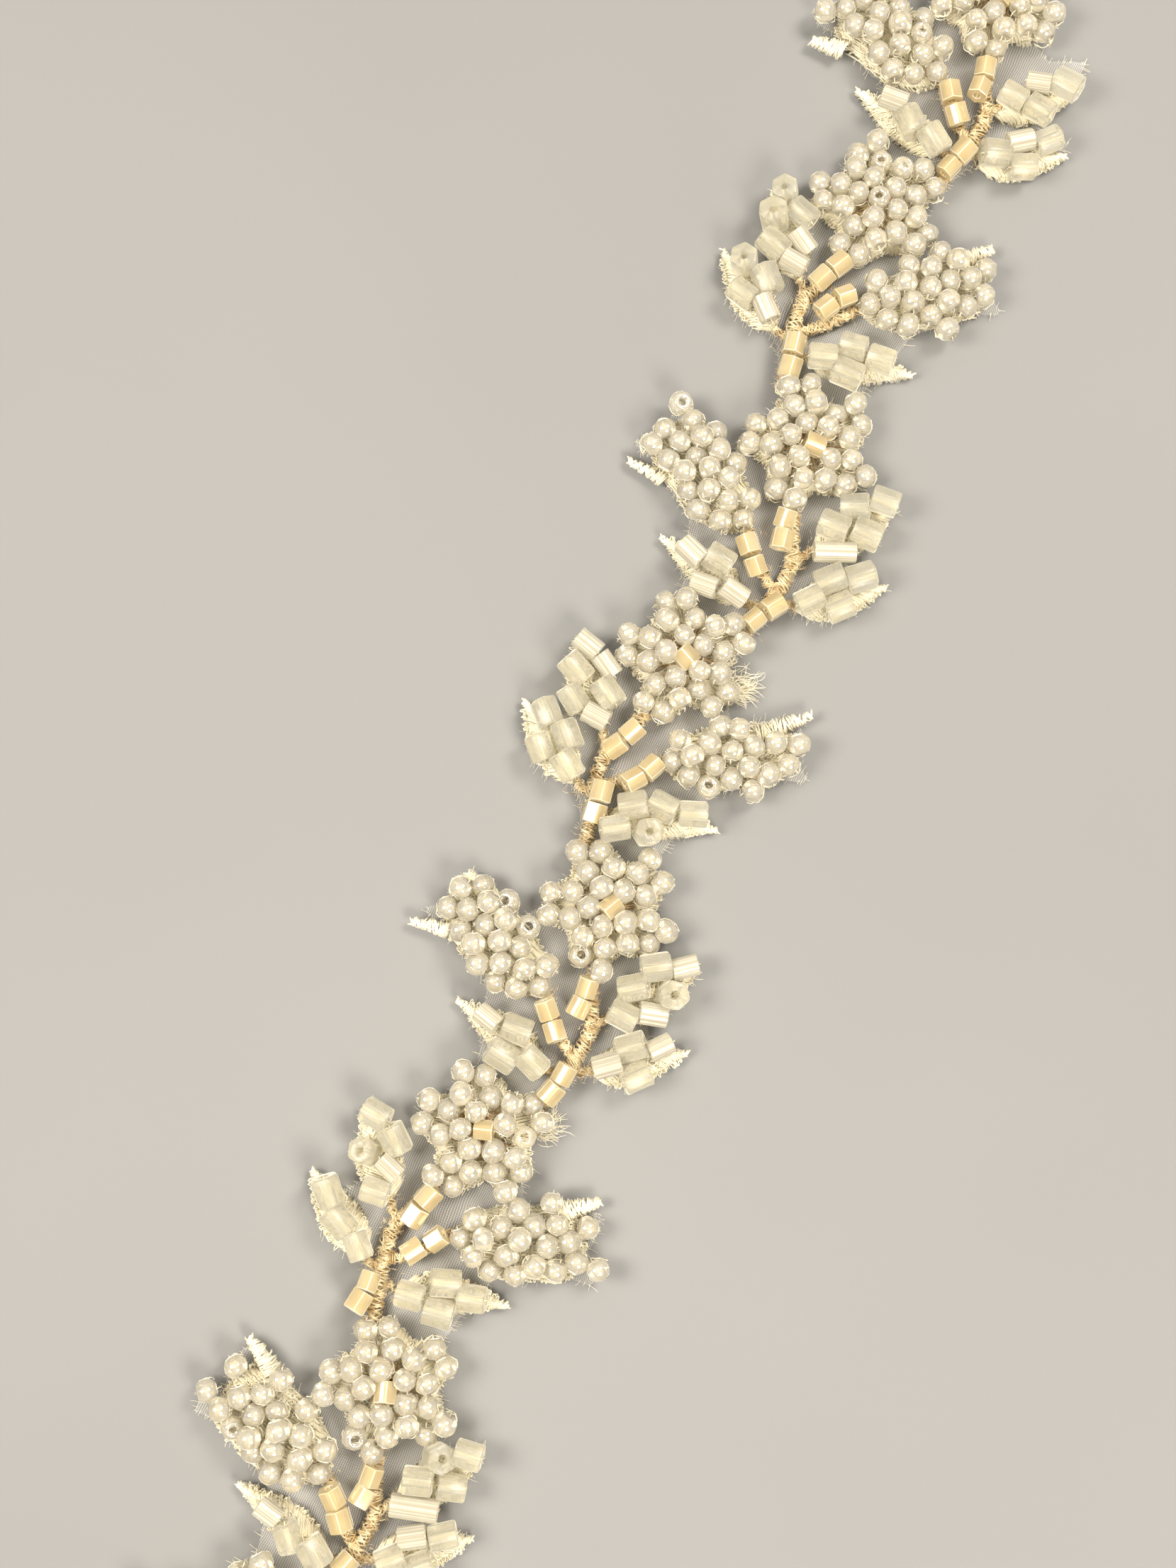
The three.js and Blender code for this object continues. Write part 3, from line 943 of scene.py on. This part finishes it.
def join(name, pieces):
    nothing_selected()
    for piece in pieces:
        piece.select_set(True)
    bpy.context.view_layer.objects.active = pieces[0]
    bpy.ops.object.join()
    pieces[0].name = name
    return pieces[0]


def stitched(motif, number, base, runs):
    """A motif's pad and all its strands as one piece."""
    strands = thread("strands", runs, STRAND, IVORY_THREAD)
    return join(f"{motif}_stitches_{number}", [base, strands])


def embroider_leaf(number, leaf_name, dice):
    leaf = LEAVES[leaf_name]
    drawing = leaf_frame(number, leaf_name)
    base = pad("pad", leaf_outline(leaf), drawing, number, IVORY_THREAD, LEAF_PAD_STEPS)
    trees = surface_of(base)
    runs = [laid(number, run, trees, dice.uniform(0.08, 0.2)) for run in leaf_stitches(leaf, drawing, dice)]
    rim = leaf_outline(leaf)
    runs += loops(number, drawing, rim[2:12], dice, count=55, reach=0.7)
    runs += loops(number, drawing, rim[12:22], dice, count=20, reach=0.4)
    near, far = (drawing @ Vector((leaf_length(leaf) + past, 0, 0)) for past in LEAF_POINT)
    runs += knotted_point(number, near.xy, far.xy, LEAF_POINT_RADIUS, dice, LEAF_WRAPS)
    piece = stitched(leaf_name, number, base, runs)
    return finished(piece, "ivory_thread", f"{leaf_name}_{number}"), trees


def embroider_bud(number, sprig, dice):
    drawing = bud_frame(sprig)
    base = pad("pad", BUD_EDGE, drawing, number, IVORY_THREAD)
    trees = surface_of(base)
    runs = [laid(number, run, trees, dice.uniform(0.08, 0.22)) for run in bud_stitches(sprig, dice)]
    rim = BUD_EDGE + BUD_EDGE[:2]
    runs += loops(number, drawing, rim, dice, count=90, reach=0.6)
    for near, far in BUD_POINTS[number]:
        near, far = drawing @ Vector((*near, 0)), drawing @ Vector((*far, 0))
        radius = POINT_RADIUS.get(number, BUD_POINT_RADIUS)
        runs += knotted_point(number, near.xy, far.xy, radius, dice, BUD_WRAPS)
    piece = stitched("bud", number, base, runs)
    return finished(piece, "ivory_thread", f"bud_{number}"), trees


def embroider_flower(number, sprig, dice):
    drawing = flower_frame(sprig)
    base = pad("pad", flower_outline(), drawing, number, IVORY_THREAD)
    trees = surface_of(base)
    outer, inner = flower_stitches(sprig, dice)
    runs = [laid(number, run, trees, dice.uniform(0.08, 0.22)) for run in outer]
    rim = flower_outline()
    runs += loops(number, drawing, rim + rim[:2], dice, count=110, reach=0.6)
    piece = stitched("flower", number, base, runs)
    heart = [laid(number, run, trees, dice.uniform(0.2, 0.42)) for run in inner]
    golden = thread(f"flower_heart_{number}", heart, STRAND * HEART_SHARE, CENTRE_THREAD)
    finished(golden, "stem_thread")
    return finished(piece, "ivory_thread", f"flower_{number}"), trees


FUZZ = 0.24
TUFTS = {4: ((-4.2, 12.9), 2.9), 6: ((-4.2, 15.6), 2.4)}


def fuzz(number, sprig, trees, dice):
    """Fibres that stick out between the beads and along the edges, and a frayed tuft on some sprigs."""
    runs = fibres(number, sprig["flower"], dice, count=110, spread=3.2, reach=1.2, low=1.5, high=2.8,
                  trees=trees)
    runs += curls(number, sprig["flower"], dice, count=200, spread=3.2, trees=trees)
    middle_of_bud = bud_frame(sprig) @ Vector((8, 0, 0))
    runs += fibres(number, middle_of_bud, dice, count=120, spread=3.0, reach=1.2, low=1.4, high=2.6,
                   trees=trees)
    runs += curls(number, middle_of_bud, dice, count=320, spread=3.2, trees=trees)
    for away, across in ((12.4, 2.6), (12.2, -2.9), (5.0, 3.0), (8.0, -3.4)):
        place = bud_frame(sprig) @ Vector((away, across, 0))
        runs += fibres(number, place, dice, count=18, spread=0.6, reach=1.1, low=0.5, high=1.4, trees=trees)
    for leaf_name, leaf in LEAVES.items():
        drawing = leaf_frame(number, leaf_name)
        middle_of_leaf = drawing @ Vector((leaf_length(leaf) / 2, 0, 0))
        runs += curls(number, middle_of_leaf, dice, count=90, spread=1.8, trees=trees)
        for share, side in ((0.3, -1), (0.55, -1), (0.8, -0.6), (0.96, 0), (0.5, 0.9)):
            place = drawing @ Vector((share * leaf_length(leaf), side * leaf_half(leaf, share), 0))
            runs += fibres(number, place, dice, count=14, spread=0.4, reach=1.0, low=0.4, high=1.3,
                           trees=trees)
    if number in TUFTS:
        place, heading = TUFTS[number]
        runs += fibres(number, place, dice, count=130, spread=0.6, reach=2.3, low=0.4, high=1.6,
                       towards=heading)
    return finished(thread(f"loose_fibres_{number}", runs, FUZZ, IVORY_THREAD), "ivory_thread")


for number, sprig in SPRIGS.items():
    dice = random.Random(STITCH_SEED + number)
    embroidered = [embroider_flower(number, sprig, dice), embroider_bud(number, sprig, dice)]
    embroidered += [embroider_leaf(number, leaf_name, dice) for leaf_name in LEAVES]
    loose = fuzz(number, sprig, [tree for _, trees in embroidered for tree in trees], dice)
    print("sprig", number, sum(len(piece.data.polygons) for piece, _ in embroidered), "faces of thread",
          len(loose.data.polygons), "of loose fibres")

# %% [markdown]
# ## The stem
# The stem is a bundle of floss that is whipped over from both sides, so it looks knotty and a little
# gold. A smooth run is drawn through the places where it bends. A thick core follows it, crossing wraps
# of floss cover the core as they do at the points, and a few loose strands lie along it. Short twigs of
# the same cord reach the leaves.

# %% Cords
CURVE_STEPS = 20


def smooth_run(points, spacing):
    """Evenly spaced points of a curve that passes through the given ones."""
    ends = [points[0], *points, points[-1]]
    dense = []
    for before, start, end, after in zip(ends, ends[1:], ends[2:], ends[3:]):
        p0, p1, p2, p3 = (Vector(p) for p in (before, start, end, after))
        for step in range(CURVE_STEPS):
            t = step / CURVE_STEPS
            bend = (2 * p0 - 5 * p1 + 4 * p2 - p3) * t * t + (3 * p1 - p0 - 3 * p2 + p3) * t ** 3
            dense.append((2 * p1 + (p2 - p0) * t + bend) / 2)
    dense.append(Vector(points[-1]))
    even, carried = [dense[0]], 0.0
    for start, end in zip(dense, dense[1:]):
        carried += (end - start).length
        if carried >= spacing:
            even.append(end)
            carried = 0.0
    return even


def strand_along(number, points, radius, dice):
    path = smooth_run(points, 0.5)
    run = []
    for here, ahead in zip(path, path[1:]):
        side = Vector((here.y - ahead.y, ahead.x - here.x)).normalized()
        flat = here + side * dice.uniform(-1, 1) * radius
        run.append((places[number] @ Vector((flat.x, flat.y, CORD_HEIGHT + dice.uniform(0.2, 0.6))), 0.8))
    return run


CORD_STEP = 0.1
MAIN_RADIUS = 0.68
BUD_RADIUS = 0.55
TWIG_RADIUS = 0.4
LOOSE_STRANDS = 4
CORD_SEED = 200


def stem_cord(number, dice):
    runs = []
    cords = [(MAIN_RUN, MAIN_RADIUS), (BUD_RUN, BUD_RADIUS)] + [(twig, TWIG_RADIUS) for twig in TWIGS]
    for points, radius in cords:
        core = [(places[number] @ Vector((p.x, p.y, CORD_HEIGHT)), 1.8 * radius / STRAND)
                for p in smooth_run(points, 0.6)]
        runs.append(core)
        path = smooth_run(points, CORD_STEP)
        runs += wraps(number, path, [radius] * len(path), CORD_HEIGHT, 1.0, dice)
        runs += [strand_along(number, points, radius, dice) for _ in range(LOOSE_STRANDS)]
        for x, y in points:
            runs += fibres(number, (x, y), dice, count=16, spread=0.5, reach=0.7, low=0.9, high=1.9)
    piece = thread(f"stem_cord_{number}", runs, STRAND, GOLD_THREAD)
    return finished(piece, "stem_thread", f"stem_{number}")


for number in SPRIGS:
    cord = stem_cord(number, random.Random(CORD_SEED + number))
print("stem", len(cord.data.polygons), "faces each")

# %% [markdown]
# ## Beads
# Three shapes of bead are sewn on: round seed beads, six-sided cuts, and short tubes with drawn stripes.
# Each is modelled once and copied. A seed bead is a ball without its poles, with a wall bridged between
# the two openings, and flattened along its hole. The cut beads are short prisms with a hole bored in the
# same way, and the bevel on their edges catches the light. On the champagne beads the bevel faces also
# get a paler finish of their own, which is a painted highlight along the edges. They are few-sided on
# purpose, because hundreds are laid.

# %% Bead shapes
BEAD_WIDTH = 2.24
BEAD_THICKNESS = 1.95
BEAD_SEGMENTS = 12
BEAD_RINGS = 8
POLE_SHARE = 0.49


def bored(piece):
    """Bridge the two openings of a piece in edit mode with the wall of a hole."""
    bpy.ops.mesh.select_mode(type="EDGE")
    bpy.ops.mesh.select_all(action="DESELECT")
    bpy.ops.mesh.select_non_manifold(extend=False, use_wire=False, use_multi_face=False,
                                     use_non_contiguous=False, use_verts=False)
    bpy.ops.mesh.bridge_edge_loops()
    bpy.ops.mesh.select_all(action="SELECT")
    bpy.ops.mesh.normals_make_consistent(inside=False)
    bpy.ops.object.mode_set(mode="OBJECT")
    return piece


def seed_bead():
    nothing_selected()
    bpy.ops.mesh.primitive_uv_sphere_add(segments=BEAD_SEGMENTS, ring_count=BEAD_RINGS,
                                         radius=BEAD_WIDTH * MM / 2)
    bead = bpy.context.object
    bead.name = "seed_bead"
    picked(bead, "VERT", lambda vertex: abs(vertex.co.z) > POLE_SHARE * BEAD_WIDTH * MM)
    bpy.ops.mesh.delete(type="VERT")
    bpy.ops.mesh.select_all(action="SELECT")
    flat = BEAD_THICKNESS / (BEAD_WIDTH * math.cos(math.pi / BEAD_RINGS))
    bpy.ops.transform.resize(value=(1, 1, flat))
    bored(bead)
    bpy.ops.object.shade_smooth()
    bead.data.materials.append(PEARL)
    return bead


def tube_bead(name, looks, sides, width, length, hole, bevel, segments=1):
    nothing_selected()
    radius = width / 2 / math.cos(math.pi / sides)
    bpy.ops.mesh.primitive_cylinder_add(vertices=sides, radius=radius * MM, depth=length * MM)
    bead = bpy.context.object
    bead.name = name
    for look in looks:
        bead.data.materials.append(look)
    picked(bead, "FACE", lambda face: abs(face.normal.z) > 0.9)
    bpy.ops.mesh.inset(thickness=(width - hole) / 2 * MM, use_individual=True)
    bpy.ops.mesh.delete(type="FACE")
    bored(bead)
    edge = bead.modifiers.new("edge", "BEVEL")
    edge.width = bevel * MM
    edge.segments = segments
    edge.limit_method = "ANGLE"
    edge.angle_limit = math.radians(35)
    # The bevel faces take the last look. On the champagne beads that is the paler painted highlight along the
    # edges.
    edge.material = len(looks) - 1
    bpy.ops.object.modifier_apply(modifier="edge")
    bpy.ops.object.shade_smooth_by_angle(angle=math.radians(30))
    return bead


MASTERS = {
    "pearl": seed_bead(),
    "frosted": tube_bead("frosted_bead", [FROSTED], sides=6, width=2.45, length=2.7, hole=0.75,
                         bevel=0.34, segments=2),
    "satin": tube_bead("satin_bead", [SATIN], sides=14, width=2.05, length=2.5, hole=0.8, bevel=0.08),
    "satin_long": tube_bead("satin_bead_long", [SATIN], sides=14, width=2.05, length=4.2, hole=0.8,
                            bevel=0.08),
    "champagne": tube_bead("champagne_bead", [CHAMPAGNE, PAINTED_EDGE_GLINT], sides=6, width=1.95, length=1.85,
                           hole=0.7, bevel=0.07),
}
for name, master in MASTERS.items():
    print(name, len(master.data.polygons), "faces", [round(v / MM, 2) for v in master.dimensions])

# %% [markdown]
# ## Where the beads sit
# An embroiderer crowds the beads, so they push each other aside. Each bead starts from its place in the
# drawing, moved by a small seeded chance, and rounds of nudging give each the room that its own size
# takes up, also beside the last beads of the sprig before. Most seed beads lie on their side with the
# thread running along the cloth. The few whose hole looks up show as little rings.

# %% Places of the beads
PETAL_BEADS = [(2.0, 0.1, 3.3), (3.5, -1.1, 3.1), (3.7, 1.0, 2.8), (5.1, -0.7, 2.4), (5.0, 1.2, 2.5)]
BUD_BEADS = [(0.9, 0.1, 2.3), (2.0, -1.8, 2.4), (2.5, 1.5, 2.5), (4.3, -1.3, 3.0), (4.3, 2.6, 2.3),
             (5.4, 0.6, 3.1), (5.4, -3.2, 2.3), (7.2, -1.9, 3.1), (7.0, 1.7, 2.6), (8.6, -0.2, 3.0),
             (8.9, -3.7, 2.3), (9.8, 1.3, 2.4), (10.6, -1.0, 2.8), (10.5, -2.8, 2.4),
             (3.2, -0.4, 3.3), (6.3, -0.8, 3.7), (8.0, 0.9, 3.5), (9.6, -2.1, 3.5), (11.5, 0.4, 2.5)]
LEAF_BEADS = {
    "leaf_upper": {
        4: [(8.0, 0.7, -35), (5.6, 1.2, -20), (4.6, -1.2, -35), (2.4, 0.2, -40)],
        5: [(8.0, 0.9, -45), (5.8, 1.6, -15), (5.4, -1.0, -35), (3.3, 0.9, -45), (1.8, -0.9, -40)],
        6: [(8.1, 1.0, -30), (5.7, 1.9, -25), (6.1, -0.8, -20), (3.5, 1.2, -30), (3.9, -1.5, -25),
            (1.5, -0.2, -40)],
    },
    "leaf_lower": {
        3: [(6.7, 0.7, 0), (4.2, 0.2, -8), (1.9, 0.0, 4)],
        4: [(7.0, 1.1, 0), (4.6, 1.4, -5), (4.6, -1.1, -5), (2.1, 0.2, 4)],
    },
    "leaf_back": {
        3: [(7.0, -0.4, 5), (4.4, 0.1, -30), (1.8, 0.0, -8)],
        4: [(7.2, -0.4, 5), (4.8, -1.2, 12), (4.5, 1.2, 0), (1.8, 0.1, -8)],
        5: [(7.3, -0.8, 8), (5.2, -1.0, 14), (4.4, 1.1, 0), (2.8, -1.0, -5), (1.2, 0.8, -8)],
    },
}
# Kinds of the leaf beads from the tip inwards: frosted, satin, long satin, or frosted with its end turned
# up.
LEAF_KINDS = {
    1: ("fsff", "fsff", "sff"),
    2: ("efesfs", "effs", "ffff"),
    3: ("ffffl", "ffff", "sfss"),
    4: ("ssfffs", "ffff", "ffeff"),
    5: ("sfefsf", "sffs", "sfff"),
    6: ("ffesf", "fff", "ffff"),
    7: ("feffl", "fsff", "sff"),
    8: ("sffff", "fffs", "sfff"),
}
KIND_OF = {"f": "frosted", "e": "frosted", "s": "satin", "l": "satin_long"}
# Pairs along the stem, from its flower downwards: on the flower's stem, on the bud's, and on the tail.
STEM_BEADS = {
    1: [(2.7, 6.2), (2.9, 4.1), (0.5, 2.6), (1.9, 0.8), (3.9, -2.2), (3.2, -4.3)],
    2: [(2.7, 6.6), (3.7, 4.7), (1.0, 3.9), (2.2, 2.2), (3.6, -2.3), (3.1, -4.5)],
    3: [(2.2, 5.9), (2.7, 3.9), (0.0, 2.2), (1.4, 0.6), (4.5, -2.3), (3.3, -4.2)],
    4: [(3.0, 5.1), (3.9, 3.2), (0.0, 2.7), (1.1, 0.9), (3.4, -1.2), (3.2, -3.3)],
    5: [(2.6, 5.7), (2.6, 3.8), (0.0, 2.4), (1.5, 0.8), (3.8, -2.4), (3.4, -4.4)],
    6: [(2.7, 6.1), (3.2, 4.1), (0.5, 2.9), (2.0, 1.1), (4.6, -3.0), (4.7, -5.0)],
    7: [(2.8, 5.7), (2.8, 3.7), (0.4, 2.6), (1.8, 1.0), (3.8, -2.4), (3.3, -4.3)],
    8: [(2.6, 5.9), (2.8, 3.9), (0.4, 2.5), (1.8, 0.9), (3.8, -2.3), (3.3, -4.2)],
}
# One more sits in the heart of most flowers.
HEART_BEADS = {1: (1.3, 13.5), 3: (1.9, 13.3), 4: (1.2, 13.4), 5: (1.7, 13.3), 6: (0.4, 13.7), 7: (1.0, 13.0),
               8: (1.5, 13.2)}
# The round beads nearest to these places stand on end and show their hole.
FACING_UP = {
    1: [(-4.5, 6.0)],
    2: [(1.9, 12.7), (4.0, 17.5), (1.7, 18.5)],
    3: [(-11.2, 12.1)],
    4: [(-6.2, 2.7)],
    5: [(-8.1, 10.2), (-5.0, 8.3), (0.5, 7.4)],
    6: [(-4.9, 14.5)],
    7: [(-11.4, 4.2), (0.8, 7.0)],
    8: [(3.2, 8.2)],
}
# The room that a bead takes up from its middle, along its hole and across it.
ROOM = {"pearl": (1.0, 1.1), "frosted": (1.42, 1.33), "satin": (1.3, 1.08), "satin_long": (2.14, 1.08),
        "champagne": (0.97, 1.03)}


def spot(kind, place, height, heading, rises=False, fixed=False):
    return {"kind": kind, "place": Vector((place[0], place[1], height)), "heading": heading,
            "rises": rises, "fixed": fixed}


def petal_spots(sprig, dice):
    spots = []
    drawing = flower_frame(sprig)
    for petal in range(PETALS):
        angle = math.radians(FIRST_PETAL) + math.tau * petal / PETALS
        ahead, side = Vector((math.cos(angle), math.sin(angle))), Vector((-math.sin(angle), math.cos(angle)))
        for out, aside, height in PETAL_BEADS:
            flat = ahead * out + side * aside
            flat += Vector((dice.uniform(-0.3, 0.3), dice.uniform(-0.3, 0.3)))
            place = drawing @ flat.to_3d()
            heading = dice.uniform(0, math.tau)
            spots.append(spot("pearl", place, height + dice.uniform(-0.45, 0.45), heading))
    return spots


POINT_CLEARANCE = 1.3
END_BEAD_HEIGHT = 2.3


def covers_a_point(number, away, across):
    """Tells whether a bead here would hide one of the bud's points of thread."""
    for near, far in BUD_POINTS[number]:
        on_line, share = intersect_point_line((away, across), near, far)
        if 0.1 < share < 1.1 and (on_line - Vector((away, across))).length < POINT_CLEARANCE:
            return True
    return False


def bud_spots(number, sprig, dice):
    drawing = bud_frame(sprig)
    spots = []
    beads = [bead for bead in BUD_BEADS if not covers_a_point(number, *bead[:2])]
    beads += [(away, across, END_BEAD_HEIGHT) for away, across in BUD_ENDS[number]]
    for away, across, height in beads:
        flat = Vector((away + dice.uniform(-0.3, 0.3), across + dice.uniform(-0.25, 0.25), 0))
        heading = dice.uniform(0, math.tau)
        spots.append(spot("pearl", drawing @ flat, height + dice.uniform(-0.4, 0.4), heading))
    return spots


LEAF_BEAD_HEIGHT = 2.5


def leaf_spots(number, dice):
    spots = []
    for kinds, (leaf_name, beads) in zip(LEAF_KINDS[number], LEAF_BEADS.items()):
        drawing = leaf_frame(number, leaf_name)
        axis = drawing.to_euler().z
        for letter, (along, across, turn) in zip(kinds, beads[len(kinds)]):
            flat = Vector((along + dice.uniform(-0.2, 0.2), across + dice.uniform(-0.25, 0.25), 0))
            heading = axis + math.radians(turn + dice.uniform(-18, 18))
            height = LEAF_BEAD_HEIGHT + 0.25 * (abs(across) < 1) + dice.uniform(-0.1, 0.1)
            spots.append(spot(KIND_OF[letter], drawing @ flat, height, heading, rises=letter == "e"))
    return spots


PAIR_STEP = 2.0
PAIR_HEIGHT = 2.3
HEART_HEIGHT = 2.9
HEART_PEARL_HEIGHT = 3.5


def stem_spots(number, dice):
    spots = []
    beads = STEM_BEADS[number]
    for first, second in zip(beads[::2], beads[1::2]):
        run = Vector(first) - Vector(second)
        heading = math.atan2(run.y, run.x)
        middle_of_pair = (Vector(first) + Vector(second)) / 2
        for half in (0.5, -0.5):
            place = middle_of_pair + run.normalized() * half * max(run.length, PAIR_STEP)
            turn = heading + math.radians(dice.uniform(-9, 9))
            height = PAIR_HEIGHT + dice.uniform(-0.08, 0.08)
            spots.append(spot("champagne", place, height, turn, fixed=True))
    heading = dice.uniform(0, math.tau)
    if number in HEART_BEADS:
        spots.append(spot("champagne", HEART_BEADS[number], HEART_HEIGHT, heading, fixed=True))
    else:
        spots.append(spot("pearl", SPRIGS[number]["flower"], HEART_PEARL_HEIGHT, heading))
    return spots


NEIGHBOUR = 6.0
NUDGES = 80
TINY = 0.01


def room(bead, gap):
    along, across = ROOM[bead["kind"]]
    if bead["rises"] or gap.length < TINY:
        return across
    ahead = Vector((math.cos(bead["heading"]), math.sin(bead["heading"]), 0))
    return across + (along - across) * abs(ahead.dot(gap)) / gap.length


def settled(spots, around):
    """Nudges the spots apart along the cloth until each has its own room. The ones around stay put."""
    crowd = [*spots, *around]
    near = []
    for index, first in enumerate(crowd):
        for second in crowd[index + 1:]:
            close = (second["place"] - first["place"]).length < NEIGHBOUR
            if close and not (first["fixed"] and second["fixed"]):
                near.append((first, second))
    for _ in range(NUDGES):
        for first, second in near:
            gap = second["place"] - first["place"]
            short = room(first, gap) + room(second, gap) - gap.length
            if short <= 0:
                continue
            push = Vector((gap.x, gap.y, 0))
            push = push.normalized() * short * 0.5 if push.length > TINY else Vector((0.1, 0, 0))
            if not first["fixed"]:
                first["place"] -= push * (2 if second["fixed"] else 1)
            if not second["fixed"]:
                second["place"] += push * (2 if first["fixed"] else 1)
    return spots


def beads_before(number):
    """The beads of the sprig before this one, as they lie in this one's mirrored drawing."""
    if number == 1:
        return []
    across = places[number].inverted() @ places[number - 1]
    return [{**bead, "place": across @ bead["place"], "heading": math.pi - bead["heading"], "fixed": True}
            for bead in spots_of[number - 1]]


# %% Copy the beads to their places
SLOT_OF = {"pearl": "pearl_beads", "frosted": "frosted_beads", "satin": "frosted_beads",
           "champagne": "stem_beads"}


TUMBLE = 14
UPRIGHT_LEAN = (4, 22)
SIZE_SPREAD = (0.93, 1.06)
BEAD_SEED = 300


def bead_copy(number, bead, dice):
    master = MASTERS[bead["kind"]]
    copy = bpy.data.objects.new("bead", master.data.copy())
    bpy.context.collection.objects.link(copy)
    spin = Matrix.Rotation(dice.uniform(0, math.tau), 4, "Z")
    if bead["kind"] in ("frosted", "champagne"):
        spin = Matrix.Rotation(math.radians(30 + dice.uniform(-TUMBLE, TUMBLE)), 4, "Z")
    if bead["rises"]:
        lie = Matrix.Rotation(math.radians(dice.uniform(*UPRIGHT_LEAN)), 4, "Y")
    else:
        lie = Matrix.Rotation(math.radians(90 + dice.uniform(-TUMBLE, TUMBLE)), 4, "Y")
    turn = Matrix.Rotation(bead["heading"], 4, "Z") @ lie @ spin
    size = Matrix.Scale(dice.uniform(*SIZE_SPREAD), 4)
    copy.data.transform(turn @ size)
    if places[number].determinant() < 0:
        copy.data.transform(Matrix.Diagonal((-1, 1, 1, 1)))
        copy.data.flip_normals()
    copy.data.transform(Matrix.Translation(places[number] @ bead["place"]))
    return copy


HALF_LENGTH = {"pearl": 0.97, "frosted": 1.25, "satin": 1.25, "satin_long": 2.1}


def sewing_thread(number, bead, dice):
    """The thread that comes up through the cloth, passes through the bead, and goes down again."""
    ahead = Vector((math.cos(bead["heading"]), math.sin(bead["heading"]), 0))
    half = HALF_LENGTH[bead["kind"]]
    if bead["rises"]:
        steps = ((-0.1, -1.2), (0.1, -0.2), (0.0, 0.3), (-0.1, 0.1), (0.1, -0.5), (0.2, -1.2))
    else:
        steps = ((-half - 0.25, -1.1), (-half - 0.1, -0.2), (-half, 0), (half, 0), (half + 0.1, -0.2),
                 (half + 0.25, -1.1))
    run = []
    for along, up in steps:
        drawn = bead["place"] + ahead * along
        drawn.x += dice.uniform(-0.05, 0.05)
        drawn.y += dice.uniform(-0.05, 0.05)
        drawn.z += up
        run.append((places[number] @ drawn, dice.uniform(0.55, 0.75)))
    return run


NEST_STRANDS = 6


def nest(number, bead, dice):
    """Floss that lies round the foot of a seed bead and fills the room between it and its neighbours."""
    runs = []
    for _ in range(NEST_STRANDS):
        start, reach = dice.uniform(0, math.tau), dice.uniform(0.8, 2.2)
        far, drop = dice.uniform(0.85, 1.15), dice.uniform(0.25, 1.1)
        run = []
        for step in range(6):
            around = start + reach * step / 5
            wide = far * dice.uniform(0.9, 1.1)
            drawn = bead["place"] + Vector((wide * math.cos(around), wide * math.sin(around), -drop))
            drawn.z += dice.uniform(-0.2, 0.2)
            run.append((places[number] @ drawn, dice.uniform(0.4, 0.7)))
        runs.append(run)
    return runs


spots_of = {}
for number, sprig in SPRIGS.items():
    dice = random.Random(BEAD_SEED + number)
    spots = petal_spots(sprig, dice) + bud_spots(number, sprig, dice) + leaf_spots(number, dice)
    spots = settled(spots + stem_spots(number, dice), beads_before(number))
    for target in FACING_UP[number]:
        pearls = [s for s in spots if s["kind"] == "pearl"]
        nearest = min(pearls, key=lambda s: (s["place"].xy - Vector(target)).length)
        nearest["rises"] = True
    spots_of[number] = spots
    threads = [sewing_thread(number, s, dice) for s in spots if not s["fixed"]]
    for pearl in (s for s in spots if s["kind"] == "pearl"):
        threads += nest(number, pearl, dice)
    finished(thread(f"sewing_thread_{number}", threads, STRAND, IVORY_THREAD), "ivory_thread")
    for family in SLOT_OF:
        copies = [bead_copy(number, s, dice) for s in spots if s["kind"].split("_")[0] == family]
        beads = join(f"{family}_beads_{number}", copies)
        finished(beads, SLOT_OF[family])
for master in MASTERS.values():
    bpy.data.objects.remove(master)
print("beads", sum(len(spots) for spots in spots_of.values()))

# %% [markdown]
# ## Floor and light
# The trim lies on a plain pale board. Glass shows its shape mainly by the small bright reflections of the
# lamps, so there are three small soft lamps for the glints, set well apart, one wide soft panel, and a
# weak even surround that keeps the shadows open. The lamps are a little warm.

# %% Floor
FLOOR_WIDTH = 1.6
nothing_selected()
bpy.ops.mesh.primitive_plane_add(size=FLOOR_WIDTH, location=(0, 0, 0))
floor = bpy.context.object
floor.name = "floor"
FLOOR_PAINT = finish("pale board", (0.24, 0.237, 0.23), (0.225, 0.222, 0.215), 9, Roughness=0.75)
floor.data.materials.append(FLOOR_PAINT)

# %% Lamps
LAMPS = {
    "glint_left": {"turn": 205, "rise": 52, "away": 0.42, "width": 0.20, "power": 1.75},
    "glint_right": {"turn": 325, "rise": 46, "away": 0.42, "width": 0.18, "power": 1.35},
    "glint_far": {"turn": 60, "rise": 54, "away": 0.42, "width": 0.15, "power": 1.3},
    "panel": {"turn": 120, "rise": 62, "away": 0.9, "width": 1.5, "power": 2.5},
}
LAMP_COLOR = (1.0, 0.94, 0.85)
SURROUND_COLOR = (1.0, 0.98, 0.95, 1)
SURROUND_STRENGTH = 0.45


def lamp(name, turn, rise, away, width, power):
    nothing_selected()
    turn, rise = math.radians(turn), math.radians(rise)
    direction = Vector((math.cos(turn) * math.cos(rise), math.sin(turn) * math.cos(rise), math.sin(rise)))
    bpy.ops.object.light_add(type="AREA", location=aim + direction * away)
    made = bpy.context.object
    made.name = name
    made.rotation_euler = direction.to_track_quat("Z", "Y").to_euler()
    made.data.shape = "DISK"
    made.data.size = width
    made.data.energy = power
    made.data.color = LAMP_COLOR
    return made


for name, setting in LAMPS.items():
    lamp(name, **setting)
surround = bpy.data.worlds.new("surround")
surround.use_nodes = True
surround.node_tree.nodes["Background"].inputs["Color"].default_value = SURROUND_COLOR
surround.node_tree.nodes["Background"].inputs["Strength"].default_value = SURROUND_STRENGTH
bpy.context.scene.world = surround
bpy.context.scene.view_settings.view_transform = "Standard"
